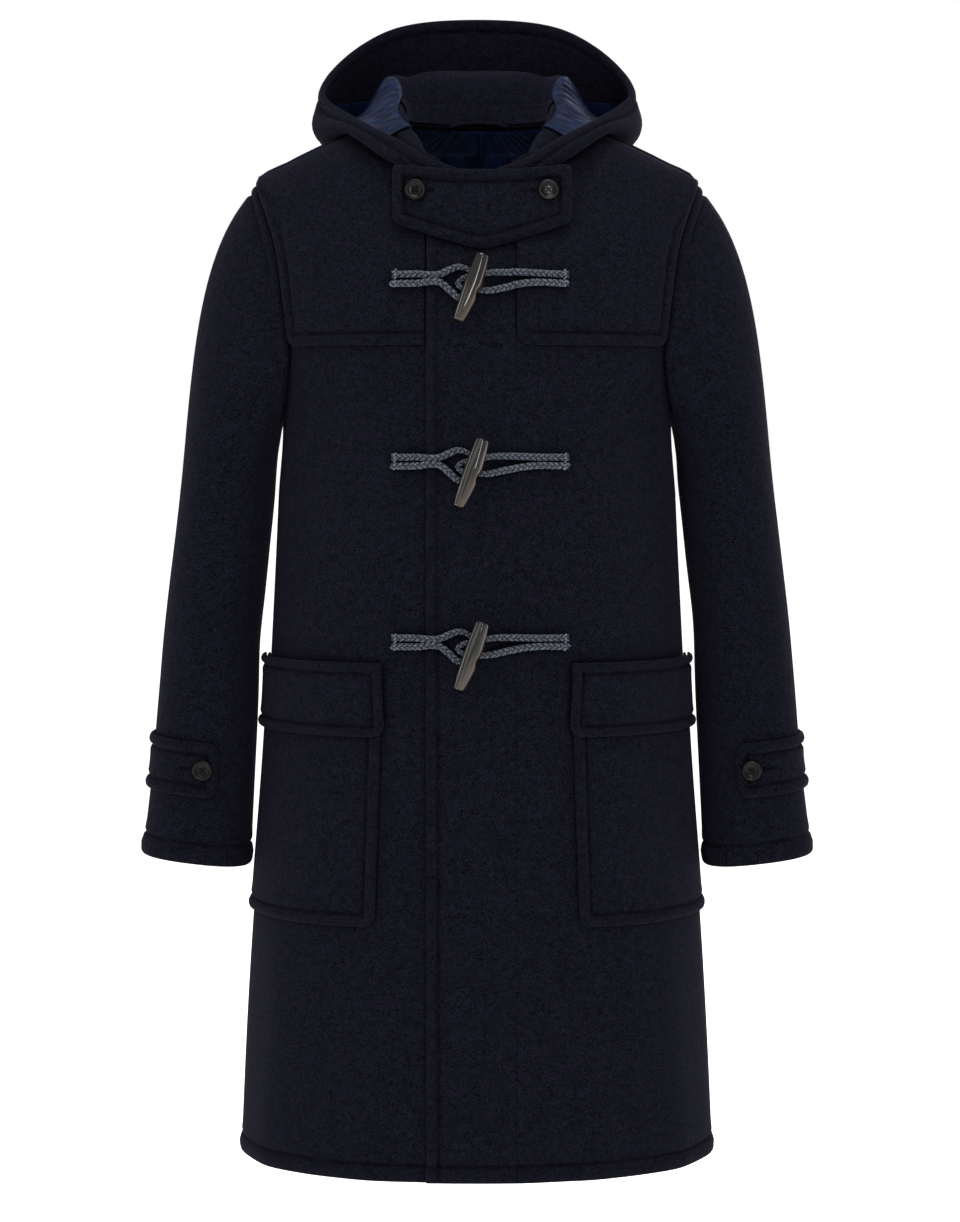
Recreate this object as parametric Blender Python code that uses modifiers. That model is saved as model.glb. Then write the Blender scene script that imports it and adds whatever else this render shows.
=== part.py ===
"""A hooded duffle coat, filled out with no wearer: wool pieces, satin linings, toggles, cords, buttons.

Metres, +Z up. The front faces -Y and the wearer's left is +X. The origin is between the shoulders.
"""

import math

import bpy
import numpy as np
from mathutils import Matrix

# Driving sizes
CLOTH = 0.0028          # wall of the wool
SATIN = 0.0012          # wall of the lining with its seam allowance
GAP = 0.0003            # between pieces edge to edge
LIFT = 0.0007           # between pieces that lie on each other
STEP = CLOTH + LIFT     # from one layer of wool to the next
SQUARENESS = 1.2        # half the exponent of the plan curves: 1 is an ellipse, more is squarer

YOKE_HEM = -0.205
UNDERARM = -0.264
FLAP_TOP = -0.517
FLAP_HEM = -0.590
POCKET_HEM = -0.778
COAT_HEM = -1.030
ARMHOLE_ANGLE = 29.3    # half the opening, seen from above, at its widest
BAND_EDGE = -0.050      # x of the over front's free edge
BAND_SEAM = 0.039       # x of the seam between band and front
UNDER_EDGE = 0.033      # x of the under front's hidden edge
POCKET_ANGLE = 68.3     # where the pockets' inner edges lie, from the side towards the middle
CORNER = 0.012          # radius of the rounded corners

TOGGLE_ROWS = {"top": -0.1417, "middle": -0.3194, "bottom": -0.4960}
TOGGLE_LENGTH = 0.070
TOGGLE_TILT = 20.0
CORD = 0.0076
BUTTON = 0.0205
LOOP_RADIUS = 0.0019
LOOP_LEVEL = 0.0262      # where the hanger loop's ends are sewn
LOOP_RISE = 0.0045

# The coat's outer face: one row for each level, from the neck seam down. Front and back are depths in Y.
BODY_COLUMNS = ("half_width", "front", "back", "z_front", "z_side", "z_back")
BODY = np.array([
    (0.0800, 0.085, 0.066, -0.075, 0.0260, 0.0260),
    (0.1160, 0.093, 0.082, -0.083, 0.0135, 0.0140),
    (0.1500, 0.100, 0.097, -0.094, -0.0005, 0.0020),
    (0.1880, 0.108, 0.109, -0.108, -0.0190, -0.0240),
    (0.2215, 0.116, 0.118, -0.125, -0.0385, -0.0500),
    (0.2230, 0.121, 0.122, -0.140, -0.0550, -0.0720),
    (0.2210, 0.125, 0.126, -0.158, -0.0830, -0.1000),
    (0.2180, 0.129, 0.130, -0.178, -0.1240, -0.1400),
    (0.2090, 0.132, 0.132, YOKE_HEM, YOKE_HEM, YOKE_HEM),
    (0.2035, 0.133, 0.132, -0.240, -0.240, -0.240),
    (0.2000, 0.134, 0.132, UNDERARM, UNDERARM, UNDERARM),
    (0.2040, 0.142, 0.128, -0.360, -0.360, -0.360),
    (0.2120, 0.148, 0.128, FLAP_TOP, FLAP_TOP, FLAP_TOP),
    (0.2160, 0.152, 0.131, FLAP_HEM, FLAP_HEM, FLAP_HEM),
    (0.2295, 0.158, 0.140, POCKET_HEM, POCKET_HEM, POCKET_HEM),
    (0.2430, 0.165, 0.150, COAT_HEM, COAT_HEM, COAT_HEM),
])
SHOULDER_TIP = 4        # row of the body where the armholes start

# Sleeve tube from biceps to cuff, outer face, wearer's left. tilt is the rise per metre towards the outside.
TUBE = np.array([  # z, x, y, half_width, half_depth, tilt
    (-0.360, 0.2575, 0.000, 0.0475, 0.070, 0.08),
    (-0.504, 0.2725, -0.004, 0.0500, 0.064, 0.10),
    (-0.605, 0.2800, -0.009, 0.0520, 0.060, 0.11),
    (-0.727, 0.2895, -0.016, 0.0555, 0.056, 0.12),
])
STRAP_TOP = -0.6030
STRAP_HEM = -0.6590
SLEEVE_FRONT_SEAM = 125.0
SLEEVE_BACK_SEAM = 235.0

# Hood, worn down: at each angle round the neck, how far out from the neck seam and how high its folds lie.
HOOD = np.array([  # angle, then out and z of the ridge, the floor, the heel, the lobe and the rim
    (-80.0, -0.001, -0.030, 0.004, -0.040, 0.010, -0.049, 0.013, -0.040, 0.010, -0.029),
    (-62.0, -0.003, -0.018, 0.006, -0.031, 0.014, -0.041, 0.019, -0.032, 0.012, -0.019),
    (-40.0, -0.008, 0.002, 0.011, -0.005, 0.028, -0.020, 0.037, -0.012, 0.021, 0.001),
    (-12.0, -0.005, 0.032, 0.022, 0.024, 0.055, 0.011, 0.063, 0.017, 0.042, 0.0250),
    (10.0, 0.004, 0.060, 0.048, 0.024, 0.079, 0.0095, 0.0885, 0.022, 0.080, 0.0585),
    (35.0, 0.022, 0.085, 0.071, 0.006, 0.098, -0.006, 0.115, 0.022, 0.085, 0.103),
    (60.0, 0.020, 0.0870, 0.076, -0.034, 0.100, -0.042, 0.121, 0.004, 0.087, 0.139),
    (90.0, 0.014, 0.087, 0.071, -0.052, 0.098, -0.058, 0.121, -0.005, 0.086, 0.151),
])
HOOD_INSET = 0.0050     # the hood's wall stands inside the neck edges of the coat
FACING = 0.0020         # wall of the neck facing

WOOL = ("navy melton wool", (0.010, 0.010, 0.018), 0.92)
SATIN_LINING = ("navy satin", (0.014, 0.030, 0.085), 0.35)
HORN = ("horn", (0.075, 0.060, 0.045), 0.25)
BUTTON_HORN = ("button horn", (0.020, 0.021, 0.023), 0.4)
BRAID = ("plaited cord", (0.075, 0.095, 0.150), 0.8)


# Clearing the scene, collections and materials

for old in list(bpy.data.objects):
    bpy.data.objects.remove(old, do_unlink=True)

coat = bpy.data.collections.new("duffle_coat")
bpy.context.scene.collection.children.link(coat)


def material(finish):
    """The finish's Principled BSDF material, made once."""
    name, colour, roughness = finish
    made = bpy.data.materials.get(name)
    if made is None:
        made = bpy.data.materials.new(name)
        made.use_nodes = True
        shader = made.node_tree.nodes["Principled BSDF"]
        shader.inputs["Base Color"].default_value = (*colour, 1.0)
        shader.inputs["Roughness"].default_value = roughness
        shader.inputs["Metallic"].default_value = 0.0
    return made


def add(name, data, finish):
    """A named object of this mesh or curve, in the coat's collection."""
    data.name = name
    made = bpy.data.objects.new(name, data)
    coat.objects.link(made)
    data.materials.append(material(finish))
    return made


# Smooth surfaces from the tables

def curve_through(knots, values, at):
    """Cubic curve through the rows of values, read at the positions in at."""
    at = np.clip(np.asarray(at, float), knots[0], knots[-1])
    slopes = np.gradient(values, knots, axis=0)
    row = np.clip(np.searchsorted(knots, at, side="right") - 1, 0, len(knots) - 2)
    span = knots[row + 1] - knots[row]
    s = ((at - knots[row]) / span)[..., None]
    span = span[..., None]
    return ((2 * s**3 - 3 * s**2 + 1) * values[row] + (s**3 - 2 * s**2 + s) * span * slopes[row]
            + (3 * s**2 - 2 * s**3) * values[row + 1] + (s**3 - s**2) * span * slopes[row + 1])


def squared(angle, wide, deep):
    """Plan curve: a point at this angle on a squared ellipse."""
    cosine = np.cos(angle)
    sine = np.sin(angle)
    x = wide * np.sign(cosine) * np.abs(cosine) ** (1 / SQUARENESS)
    y = deep * np.sign(sine) * np.abs(sine) ** (1 / SQUARENESS)
    return x, y


def ring_point(ring, angle):
    """Point of the coat at this angle on a ring with the columns of BODY."""
    wide, front, back, z_front, z_side, z_back = np.moveaxis(ring, -1, 0)
    behind = np.sin(angle) > 0
    x, y = squared(angle, wide, np.where(behind, back, front))
    z = z_side + (np.where(behind, z_back, z_front) - z_side) * np.sin(angle) ** 2
    return np.stack([x, y, z], axis=-1)


# Drop is the length down the coat from the neck seam, measured at the front of each shoulder.
DIAGONAL = ring_point(BODY, np.full(len(BODY), -math.pi / 4))
DROPS = np.concatenate([[0.0], np.cumsum(np.linalg.norm(np.diff(DIAGONAL, axis=0), axis=1))])
TIP_DROP = DROPS[SHOULDER_TIP]


def drop_of(z):
    """Drop of a level row, at or below the yokes' hem."""
    level = BODY[:, BODY_COLUMNS.index("z_side")]
    return float(np.interp(-z, -level[SHOULDER_TIP:], DROPS[SHOULDER_TIP:]))


UNDERARM_DROP = drop_of(UNDERARM)


def with_normals(surface, first, second, out):
    """Points of surface(first, second), moved out along its normals."""
    small = 1e-4
    point = surface(first, second)
    along = surface(first + small, second) - surface(first - small, second)
    across = surface(first, second + small) - surface(first, second - small)
    normal = np.cross(along, across)
    normal /= np.linalg.norm(normal, axis=-1, keepdims=True)
    return point + normal * np.asarray(out)[..., None]


def body(drop, angle, out=0.0):
    """Point of the coat, in metres down and radians round from the wearer's left, out from its outer face."""
    def surface(down, turn):
        return ring_point(curve_through(DROPS, BODY, down), turn)

    drop, angle = np.broadcast_arrays(np.asarray(drop, float), np.asarray(angle, float))
    return with_normals(surface, drop, angle, out)


def armhole(drop):
    """Half the armhole's opening angle at this drop: 0 at the shoulder tip, at the underarm and past them."""
    share = np.clip((np.asarray(drop, float) - TIP_DROP) / (UNDERARM_DROP - TIP_DROP), 0, 1)
    return math.radians(ARMHOLE_ANGLE) * np.sqrt(1 - np.abs(2 * share - 1) ** 3)


def angle_at(drop, x):
    """Angle on the front where the coat has this x."""
    wide = curve_through(DROPS, BODY, drop)[..., 0]
    share = np.clip(np.abs(x) / wide, 0, 1) ** SQUARENESS
    return -np.arccos(np.sign(x) * share)


# Shells from grids of points

def grid_mesh(points, closed=False):
    """Mesh of a grid of points, rows by columns; closed joins the last column to the first."""
    rows, columns = points.shape[:2]
    last = columns if closed else columns - 1
    faces = [(r * columns + c, (r + 1) * columns + c, (r + 1) * columns + (c + 1) % columns,
              r * columns + (c + 1) % columns) for r in range(rows - 1) for c in range(last)]
    mesh = bpy.data.meshes.new("grid")
    mesh.from_pydata(points.reshape(-1, 3).tolist(), [], faces)
    return mesh


def shell(name, points, finish, wall, corners=(), radius=CORNER):
    """A cloth piece: the grid of its inner face, rounded at the named corners, thickened outwards."""
    mesh = grid_mesh(points)
    mesh.shade_smooth()
    made = add(name, mesh, finish)
    rows, columns = points.shape[:2]
    places = {"top_first": 0, "top_last": columns - 1,
              "hem_first": (rows - 1) * columns, "hem_last": rows * columns - 1}
    if corners:
        group = made.vertex_groups.new(name="corners")
        group.add([places[corner] for corner in corners], 1.0, "REPLACE")
        rounding = made.modifiers.new("rounded corners", "BEVEL")
        rounding.affect = "VERTICES"
        rounding.limit_method = "VGROUP"
        rounding.vertex_group = "corners"
        rounding.width = radius
        rounding.segments = 3
    thicken = made.modifiers.new("cloth", "SOLIDIFY")
    thicken.thickness = wall
    thicken.offset = 1.0
    return made


def mirrored(points):
    """The same grid on the wearer's other side, wound the same way."""
    flipped = points * np.array([-1.0, 1.0, 1.0])
    return flipped[:, ::-1]


def both_sides(name, points, finish, wall, corners=()):
    """The piece on the wearer's left, and its mirror image on the right."""
    other = {"top_first": "top_last", "top_last": "top_first", "hem_first": "hem_last", "hem_last": "hem_first"}
    shell(f"{name}_left", points, finish, wall, corners)
    shell(f"{name}_right", mirrored(points), finish, wall, [other[corner] for corner in corners])


# Rows and columns that the coat's panels share, so that the facets of layers stay parallel

YOKE_DROPS = np.concatenate([DROPS[:5], TIP_DROP + np.array([0.004, 0.014]), DROPS[6:9]])
CHEST_DROPS = np.array([drop_of(z) for z in (-0.240, -0.256, UNDERARM)])
SKIRT_DROPS = np.array([drop_of(z) for z in (-0.360, -0.440, FLAP_TOP, FLAP_HEM, -0.684, POCKET_HEM,
                                             -0.904, COAT_HEM)])
ALL_DROPS = np.concatenate([YOKE_DROPS, CHEST_DROPS, SKIRT_DROPS])
SIDE_SHARES = np.array([0.0, 0.18, 0.37, 0.56, 0.77, 1.0])
TURN_GAP = GAP / 2 / 0.2    # half a seam's gap, as an angle at the coat's side
ARMHOLE_GAP = 0.0008 / 0.2  # and what the sleeve's seam takes more
YOKE_INSET = 0.0014 / 0.2   # the yokes stop a little short of the armhole seam


def rows_from(drops, first, last):
    return drops[(drops >= first - 1e-6) & (drops <= last + 1e-6)]


def side_columns(drops, seam=math.pi / 2, inset=TURN_GAP):
    """Angles from the side seam or armhole to the pocket's inner edge, on the wearer's left front."""
    opening = armhole(drops)
    edge = (opening + inset + np.where(opening > 0, ARMHOLE_GAP, 0.0))[:, None]
    pocket = np.minimum(edge + (math.pi / 2 - edge) * POCKET_ANGLE / 90, edge + (seam - edge) * 0.86)
    return -(edge + (pocket - edge) * SIDE_SHARES)


def front_columns(drops, seam_x, inset=TURN_GAP):
    """Angles across the wearer's left front, from its middle edge at seam_x to the side."""
    seam = angle_at(drops, np.full(len(drops), seam_x))[:, None]
    side = side_columns(drops, -seam, inset)[:, ::-1]
    return np.concatenate([seam, (seam + side[:, :1]) / 2, side], axis=1)


def panel(drops, angles, out):
    """Grid of the coat's points at these drops and angles."""
    return body(drops[:, None], angles, np.broadcast_to(out, angles.shape))


BAND_X = np.array([BAND_EDGE, -0.020, 0.010, BAND_SEAM - GAP])


def build_fronts():
    drops = ALL_DROPS
    side = front_columns(drops, BAND_SEAM)
    # The over front rises onto the layer of its band as it nears the middle.
    rise = np.zeros(side.shape[1])
    rise[:2] = (STEP, STEP * 0.5)
    shell("front_left", panel(drops, side, rise - CLOTH), WOOL, CLOTH)

    under = front_columns(drops, -BAND_EDGE)
    middle = [angle_at(drops, np.full(len(drops), -x)) for x in (UNDER_EDGE, 0.010, -0.020)]
    under = np.concatenate([np.stack(middle, axis=1), under], axis=1)
    shell("front_right", mirrored(panel(drops, under, -CLOTH)), WOOL, CLOTH)

    band = np.stack([angle_at(drops, np.full(len(drops), x)) for x in BAND_X], axis=1)
    shell("front_band", panel(drops, band, LIFT), WOOL, CLOTH)


def back_columns(drops, inset=TURN_GAP):
    """Angles across the whole back, from the wearer's left side to the right."""
    half = -side_columns(drops, inset=inset)
    middle = np.full((len(drops), 1), math.pi / 2)
    first = np.concatenate([half, (half[:, -1:] + middle) / 2, middle], axis=1)
    return np.concatenate([first, (math.pi - first[:, :-1])[:, ::-1]], axis=1)


def build_back():
    shell("back", panel(ALL_DROPS, back_columns(ALL_DROPS), -CLOTH), WOOL, CLOTH)
    shell("yoke_back", panel(YOKE_DROPS, back_columns(YOKE_DROPS, YOKE_INSET), LIFT), WOOL, CLOTH)


def build_yokes():
    drops = YOKE_DROPS
    left = front_columns(drops, BAND_SEAM, YOKE_INSET)
    rise = np.zeros(left.shape[1])
    rise[:2] = (STEP, STEP * 0.5)
    shell("yoke_left", panel(drops, left, rise + LIFT), WOOL, CLOTH, ("hem_first", "hem_last"))
    right = front_columns(drops, -BAND_EDGE + 4 * GAP, YOKE_INSET)
    shell("yoke_right", mirrored(panel(drops, right, LIFT)), WOOL, CLOTH, ("hem_first",))


def build_pockets():
    drops = rows_from(SKIRT_DROPS, drop_of(FLAP_TOP), drop_of(POCKET_HEM))
    pocket = side_columns(drops)[:, ::-1]
    both_sides("pocket", panel(drops, pocket, LIFT), WOOL, CLOTH, ("hem_first",))
    drops = rows_from(SKIRT_DROPS, drop_of(FLAP_TOP), drop_of(FLAP_HEM))
    flap = side_columns(drops)[:, ::-1]
    flap[:, 0] -= np.radians([0.0, 1.2])
    both_sides("flap", panel(drops, flap, STEP + 2 * LIFT), WOOL, CLOTH, ("hem_first",))


# Sleeves: each line of cloth leaves the armhole and turns down into the tube

def armhole_point(turn):
    """Point of the armhole's edge, as (drop, angle): turn 0 is the tip, pi the underarm, 2 pi the tip again."""
    down = np.linspace(0, 1, 400) ** 2
    share = np.concatenate([down * 0.5, 1 - down[::-1][1:] * 0.5])
    drop = TIP_DROP + share * (UNDERARM_DROP - TIP_DROP)
    edge = ring_point(curve_through(DROPS, BODY, drop), -armhole(drop))
    length = np.concatenate([[0.0], np.cumsum(np.linalg.norm(np.diff(edge, axis=0), axis=1))])
    turn = np.mod(turn, 2 * math.pi)
    front = np.where(turn <= math.pi, turn, 2 * math.pi - turn)
    at = np.interp(front / math.pi * length[-1], length, drop)
    return at, np.where(turn <= math.pi, -1.0, 1.0) * armhole(at)


def tube_point(row, turn):
    """Point of the sleeve tube: turn 0 is its outer side, a quarter turn its front."""
    z, x_middle, y_middle, wide, deep, tilt = np.moveaxis(row, -1, 0)
    across, ahead = squared(turn, wide, deep)
    return np.stack([x_middle + across, y_middle - ahead, z + tilt * across], axis=-1)


TUBE_DROPS = np.concatenate([[0.0], np.cumsum(-np.diff(TUBE[:, 0]))])
CAP = 0.30              # nominal length of the cap's lines, from the armhole to the tube
CAP_PULL = 0.24         # how far a line keeps its first direction
TUBE_PULL = 0.30


def sleeve_surface(down, turn):
    """Outer face of the wearer's left sleeve: down is negative on the cap and the tube's own drop below it."""
    drop, angle = armhole_point(turn)
    start = ring_point(curve_through(DROPS, BODY, drop), angle)
    away = np.stack([0.75 + 0.15 * np.cos(turn), -0.10 * np.sin(turn), -0.75 - 0 * turn], axis=-1)
    away = away * (0.55 + 0.45 * np.cos(turn / 2) ** 2)[..., None]
    pinch = 0.5 + 0.5 * np.cos(turn)
    away[..., 0] = away[..., 0] * (0.10 + 0.90 * pinch)
    first = curve_through(TUBE_DROPS, TUBE, np.zeros_like(down))
    end = tube_point(first, turn)
    ahead = tube_point(curve_through(TUBE_DROPS, TUBE, np.full_like(down, 0.01)), turn) - end
    ahead = ahead / 0.01
    s = np.clip(1 + down / CAP, 0, 1)[..., None]
    cap = ((2 * s**3 - 3 * s**2 + 1) * start + (s**3 - 2 * s**2 + s) * CAP_PULL * away
           + (3 * s**2 - 2 * s**3) * end + (s**3 - s**2) * TUBE_PULL * ahead)
    tube = tube_point(curve_through(TUBE_DROPS, TUBE, np.maximum(down, 0)), turn)
    return np.where((down < 0)[..., None], cap, tube)


def sleeve(down, turn, out=0.0):
    """Point of the sleeve, out from its outer face."""
    down, turn = np.broadcast_arrays(np.asarray(down, float), np.asarray(turn, float))
    return with_normals(sleeve_surface, down, turn, -np.asarray(out))


SLEEVE_START = 0.008
CAP_DOWNS = np.array([-CAP + SLEEVE_START, -0.27, -0.23, -0.18, -0.12, -0.06])
STRAP_DOWNS = np.array([TUBE[0, 0] - STRAP_TOP, TUBE[0, 0] - (STRAP_TOP + STRAP_HEM) / 2,
                        TUBE[0, 0] - STRAP_HEM])
SLEEVE_DOWNS = np.concatenate([CAP_DOWNS, [0.0, 0.072, 0.144, 0.20], STRAP_DOWNS, [TUBE_DROPS[-1]]])
SEAM_TURN = GAP / 2 / 0.055


def build_sleeves():
    front = math.radians(SLEEVE_FRONT_SEAM)
    back = math.radians(SLEEVE_BACK_SEAM)
    upper = np.linspace(back - 2 * math.pi + SEAM_TURN, front - SEAM_TURN, 15)
    under = np.linspace(front + SEAM_TURN, back - SEAM_TURN, 7)
    for name, turns in (("upper_sleeve", upper), ("under_sleeve", under)):
        grid = sleeve(SLEEVE_DOWNS[:, None], turns[None, :], -CLOTH)
        both_sides(name, grid[:, ::-1], WOOL, CLOTH)
    # The strap shares the upper sleeve's columns, from the back seam round to the front.
    strap = sleeve(STRAP_DOWNS[:, None], upper[None, :-1], LIFT)
    both_sides("cuff_strap", strap[:, ::-1], WOOL, CLOTH, ("top_first", "hem_first"))


# Hood

# The row after the last one is its neighbour on the other half, so that the halves meet without a kink.
HOOD_ROWS = np.concatenate([HOOD, [[180.0 - HOOD[-2, 0], *HOOD[-2, 1:]]]])


def hood_profiles():
    """For each row, points evenly spaced along the profile from neck seam to rim."""
    made = []
    neck = BODY[0]
    for row in HOOD_ROWS:
        angle = math.radians(row[0])
        seam = ring_point(neck, np.array(angle))
        away = np.array([math.cos(angle), math.sin(angle), 0.0])
        stops = [seam - away * HOOD_INSET]
        for out, z in row[1:].reshape(-1, 2):
            stop = seam + away * out
            stop[2] = z
            stops.append(stop)
        stops = np.array(stops)
        chord = np.concatenate([[0.0], np.cumsum(np.linalg.norm(np.diff(stops, axis=0), axis=1) ** 0.6)])
        dense = curve_through(chord, stops, np.linspace(0, chord[-1], 200))
        length = np.concatenate([[0.0], np.cumsum(np.linalg.norm(np.diff(dense, axis=0), axis=1))])
        even = np.linspace(0, length[-1], 65)
        made.append(np.stack([np.interp(even, length, dense[:, axis]) for axis in range(3)], axis=-1))
    return np.array(made)


PROFILES = hood_profiles()
HOOD_ANGLES = np.radians(HOOD_ROWS[:, 0])
HOOD_LENGTHS = np.linalg.norm(np.diff(PROFILES, axis=1), axis=2).sum(axis=1)


def hood_surface(angle, share):
    """Middle of the hood's wall: angle round the neck, share of the way from neck seam to rim."""
    rows = curve_through(HOOD_ANGLES, PROFILES.reshape(len(HOOD_ROWS), -1), angle)
    rows = rows.reshape(*np.shape(angle), 65, 3)
    place = np.clip(share, 0, 1) * 64
    low = np.clip(place.astype(int), 0, 63)
    part = (place - low)[..., None]
    first = np.take_along_axis(rows, low[..., None, None], axis=-2)[..., 0, :]
    second = np.take_along_axis(rows, low[..., None, None] + 1, axis=-2)[..., 0, :]
    return first * (1 - part) + second * part


def hood(angle, share, out=0.0):
    """Point of the hood, out from the middle of its wall; out is negative towards the lining."""
    angle, share = np.broadcast_arrays(np.asarray(angle, float), np.asarray(share, float))
    small = 0.012
    point = hood_surface(angle, share)
    along = hood_surface(angle + small, share) - hood_surface(angle - small, share)
    across = hood_surface(angle, share + small) - hood_surface(angle, share - small)
    normal = np.cross(along, across)
    normal[np.abs(angle - math.pi / 2) < 1e-6, 0] = 0.0
    normal /= np.linalg.norm(normal, axis=-1, keepdims=True)
    moved = point + normal * np.asarray(out)[..., None]
    moved[..., 0] = np.maximum(moved[..., 0], GAP)
    return moved


HOOD_TURNS = np.radians([-80, -62, -51, -40, -26, -12, 0, 10, 22, 35, 48, 62, 76, 90])
HOOD_SHARES = np.linspace(0, 1, 18)
LINED_TURN = 5          # column of the hood where the satin starts
LINED_SHARES = slice(4, 12)


def build_hood():
    grid = hood(HOOD_TURNS[None, :], HOOD_SHARES[:, None], -CLOTH / 2)
    both_sides("hood", grid[::-1], WOOL, CLOTH)
    lining = hood(HOOD_TURNS[None, LINED_TURN:], HOOD_SHARES[LINED_SHARES, None], -CLOTH / 2 - LIFT - SATIN)
    both_sides("hood_lining", lining[::-1], SATIN_LINING, SATIN)
    turns = np.radians([22, 35, 47, 60, 75, 90])
    turns = np.concatenate([turns, (math.pi - turns[:-1])[::-1]])
    half = np.minimum(turns, math.pi - turns)
    length = np.interp(half, HOOD_ANGLES, HOOD_LENGTHS)
    shares = np.array([0.002, 0.012, 0.024])[:, None] / length
    facing = hood(half[None, :], shares, -CLOTH / 2 - LIFT - FACING)
    facing[:, turns > math.pi / 2 + 1e-6, 0] *= -1
    facing[:, np.abs(turns - math.pi / 2) < 1e-6, 0] = 0.0
    shell("neck_facing", facing[::-1], WOOL, FACING)


def build_back_lining():
    drops = YOKE_DROPS[:8]
    angles = back_columns(drops)[:, 3:-3]
    shell("back_lining", panel(drops, angles, -CLOTH - LIFT - SATIN), SATIN_LINING, SATIN)


# Pieces on the front

def front_spot(x, z, out):
    """Point of the coat's front at this x and height, out from the fronts' outer face, and the way out."""
    drops = np.linspace(0.0, DROPS[-1], 900)
    line = body(drops, angle_at(drops, np.full(900, x)))
    drop = np.interp(-z, -line[:, 2], drops)
    angle = angle_at(drop, x)
    point = body(drop, angle, out)
    normal = point - body(drop, angle, out - 0.001)
    return point, normal / np.linalg.norm(normal)


TAB_TOP = -0.0255
TAB_SIDE = -0.084
TAB_POINT = -0.110
TAB_MIDDLE = 0.005
TAB_HALF = 0.0885
TAB_LEAN = 0.10
TAB_ROUND = 0.60


def tab_foot():
    """How far forward the tab's plane has to lie at its point, so that it just clears the layers below."""
    need = []
    for x in (-0.080, -0.060, -0.040, -0.020, 0.0, 0.020, 0.040, 0.060, 0.080, 0.090):
        z = TAB_POINT + (TAB_SIDE - TAB_POINT) * abs(x - TAB_MIDDLE) / TAB_HALF
        layers = 2 * STEP + LIFT if x > BAND_SEAM - 0.006 else STEP + LIFT
        point = front_spot(x, z, layers)[0]
        need.append(point[1] - TAB_LEAN * (z - TAB_POINT) - TAB_ROUND * (x - TAB_MIDDLE) ** 2)
    return min(need) - 2 * LIFT


TAB_FOOT = tab_foot()


def tab(x, z, out=0.0):
    """Point of the throat tab, out from its inner face."""
    y = TAB_FOOT + TAB_LEAN * (z - TAB_POINT) + TAB_ROUND * (x - TAB_MIDDLE) ** 2
    return np.stack([x, y - out, z], axis=-1)


def build_tab():
    shares = np.linspace(-1, 1, 9)
    x = TAB_MIDDLE + shares * TAB_HALF
    dip = 0.006 * (1 - shares**2)
    top = TAB_TOP - dip
    hem = TAB_POINT + (TAB_SIDE - TAB_POINT) * np.abs(shares)
    down = np.linspace(0, 1, 4)[:, None]
    grid = tab(np.broadcast_to(x, (4, 9)), top + (hem - top) * down)
    shell("throat_tab", grid, WOOL, CLOTH, ("top_first", "top_last", "hem_first", "hem_last"), 0.006)


def aligned(made, centre, normal, turn=0.0):
    """Places an object with its own +Z along the normal, and turned about it."""
    z_axis = np.array(normal) / np.linalg.norm(normal)
    x_axis = np.cross([0.0, 0.0, 1.0], z_axis)
    x_axis /= np.linalg.norm(x_axis)
    y_axis = np.cross(z_axis, x_axis)
    x_turned = x_axis * math.cos(turn) + y_axis * math.sin(turn)
    y_turned = y_axis * math.cos(turn) - x_axis * math.sin(turn)
    frame = np.eye(4)
    frame[:3, 0] = x_turned
    frame[:3, 1] = y_turned
    frame[:3, 2] = z_axis
    frame[:3, 3] = centre
    made.matrix_world = Matrix(frame.tolist())


def turned(name, profile, finish, steps=24):
    """A turned piece: a profile of (radius, height) about its own Z."""
    mesh = bpy.data.meshes.new(name)
    points = [(radius, 0.0, height) for radius, height in profile]
    mesh.from_pydata(points, [(i, i + 1) for i in range(len(points) - 1)], [])
    made = add(name, mesh, finish)
    screw = made.modifiers.new("turn", "SCREW")
    screw.steps = steps
    screw.render_steps = steps
    screw.use_merge_vertices = True
    screw.merge_threshold = 0.00001
    screw.use_smooth_shade = True
    return made


def build_button(name, centre, normal):
    radius = BUTTON / 2
    profile = [(0.0, 0.0030), (radius * 0.66, 0.0030), (radius * 0.76, 0.0042), (radius * 0.93, 0.0042),
               (radius, 0.0028), (radius * 0.86, 0.0), (0.0, 0.0)]
    button = turned(name, profile, BUTTON_HORN, 20)
    aligned(button, centre + np.array(normal) * 0.0003, normal)


def build_buttons():
    for side, x in (("right", -0.0607), ("left", 0.0703)):
        centre = tab(np.array(x), np.array(-0.052), CLOTH)
        small = 1e-3
        across = tab(np.array(x + small), np.array(-0.052), CLOTH) - centre
        down = tab(np.array(x), np.array(-0.052 - small), CLOTH) - centre
        normal = np.cross(across, -down)
        normal *= -np.sign(normal[1])
        build_button(f"tab_button_{side}", centre, normal / np.linalg.norm(normal))
    down = STRAP_DOWNS[1]
    turn = math.radians(93.0)
    centre = sleeve(down, turn, STEP)
    normal = sleeve(down, turn, STEP + 0.001) - centre
    normal /= np.linalg.norm(normal)
    build_button("cuff_button_left", centre, normal)
    flip = np.array([-1.0, 1.0, 1.0])
    build_button("cuff_button_right", centre * flip, normal * flip)


def tube(name, points, radius, finish, widths=None):
    """A round cord along these points."""
    curve = bpy.data.curves.new(name, "CURVE")
    curve.dimensions = "3D"
    curve.bevel_depth = radius
    curve.bevel_resolution = 2
    curve.use_fill_caps = True
    spline = curve.splines.new("POLY")
    spline.points.add(len(points) - 1)
    for index, point in enumerate(points):
        spline.points[index].co = (*point, 1.0)
        spline.points[index].radius = 1.0 if widths is None else widths[index]
    spline.use_smooth = True
    return add(name, curve, finish)


def route(stops, count):
    """Smooth curve through the stops, each of (x, z, out, width), read at count even places."""
    stops = np.array(stops)
    run = np.diff(stops[:, :3] * (1.0, 1.0, CROSSING), axis=0)
    length = np.concatenate([[0.0], np.cumsum(np.linalg.norm(run, axis=1))])
    return curve_through(length, stops, np.linspace(0, length[-1], count))


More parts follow.
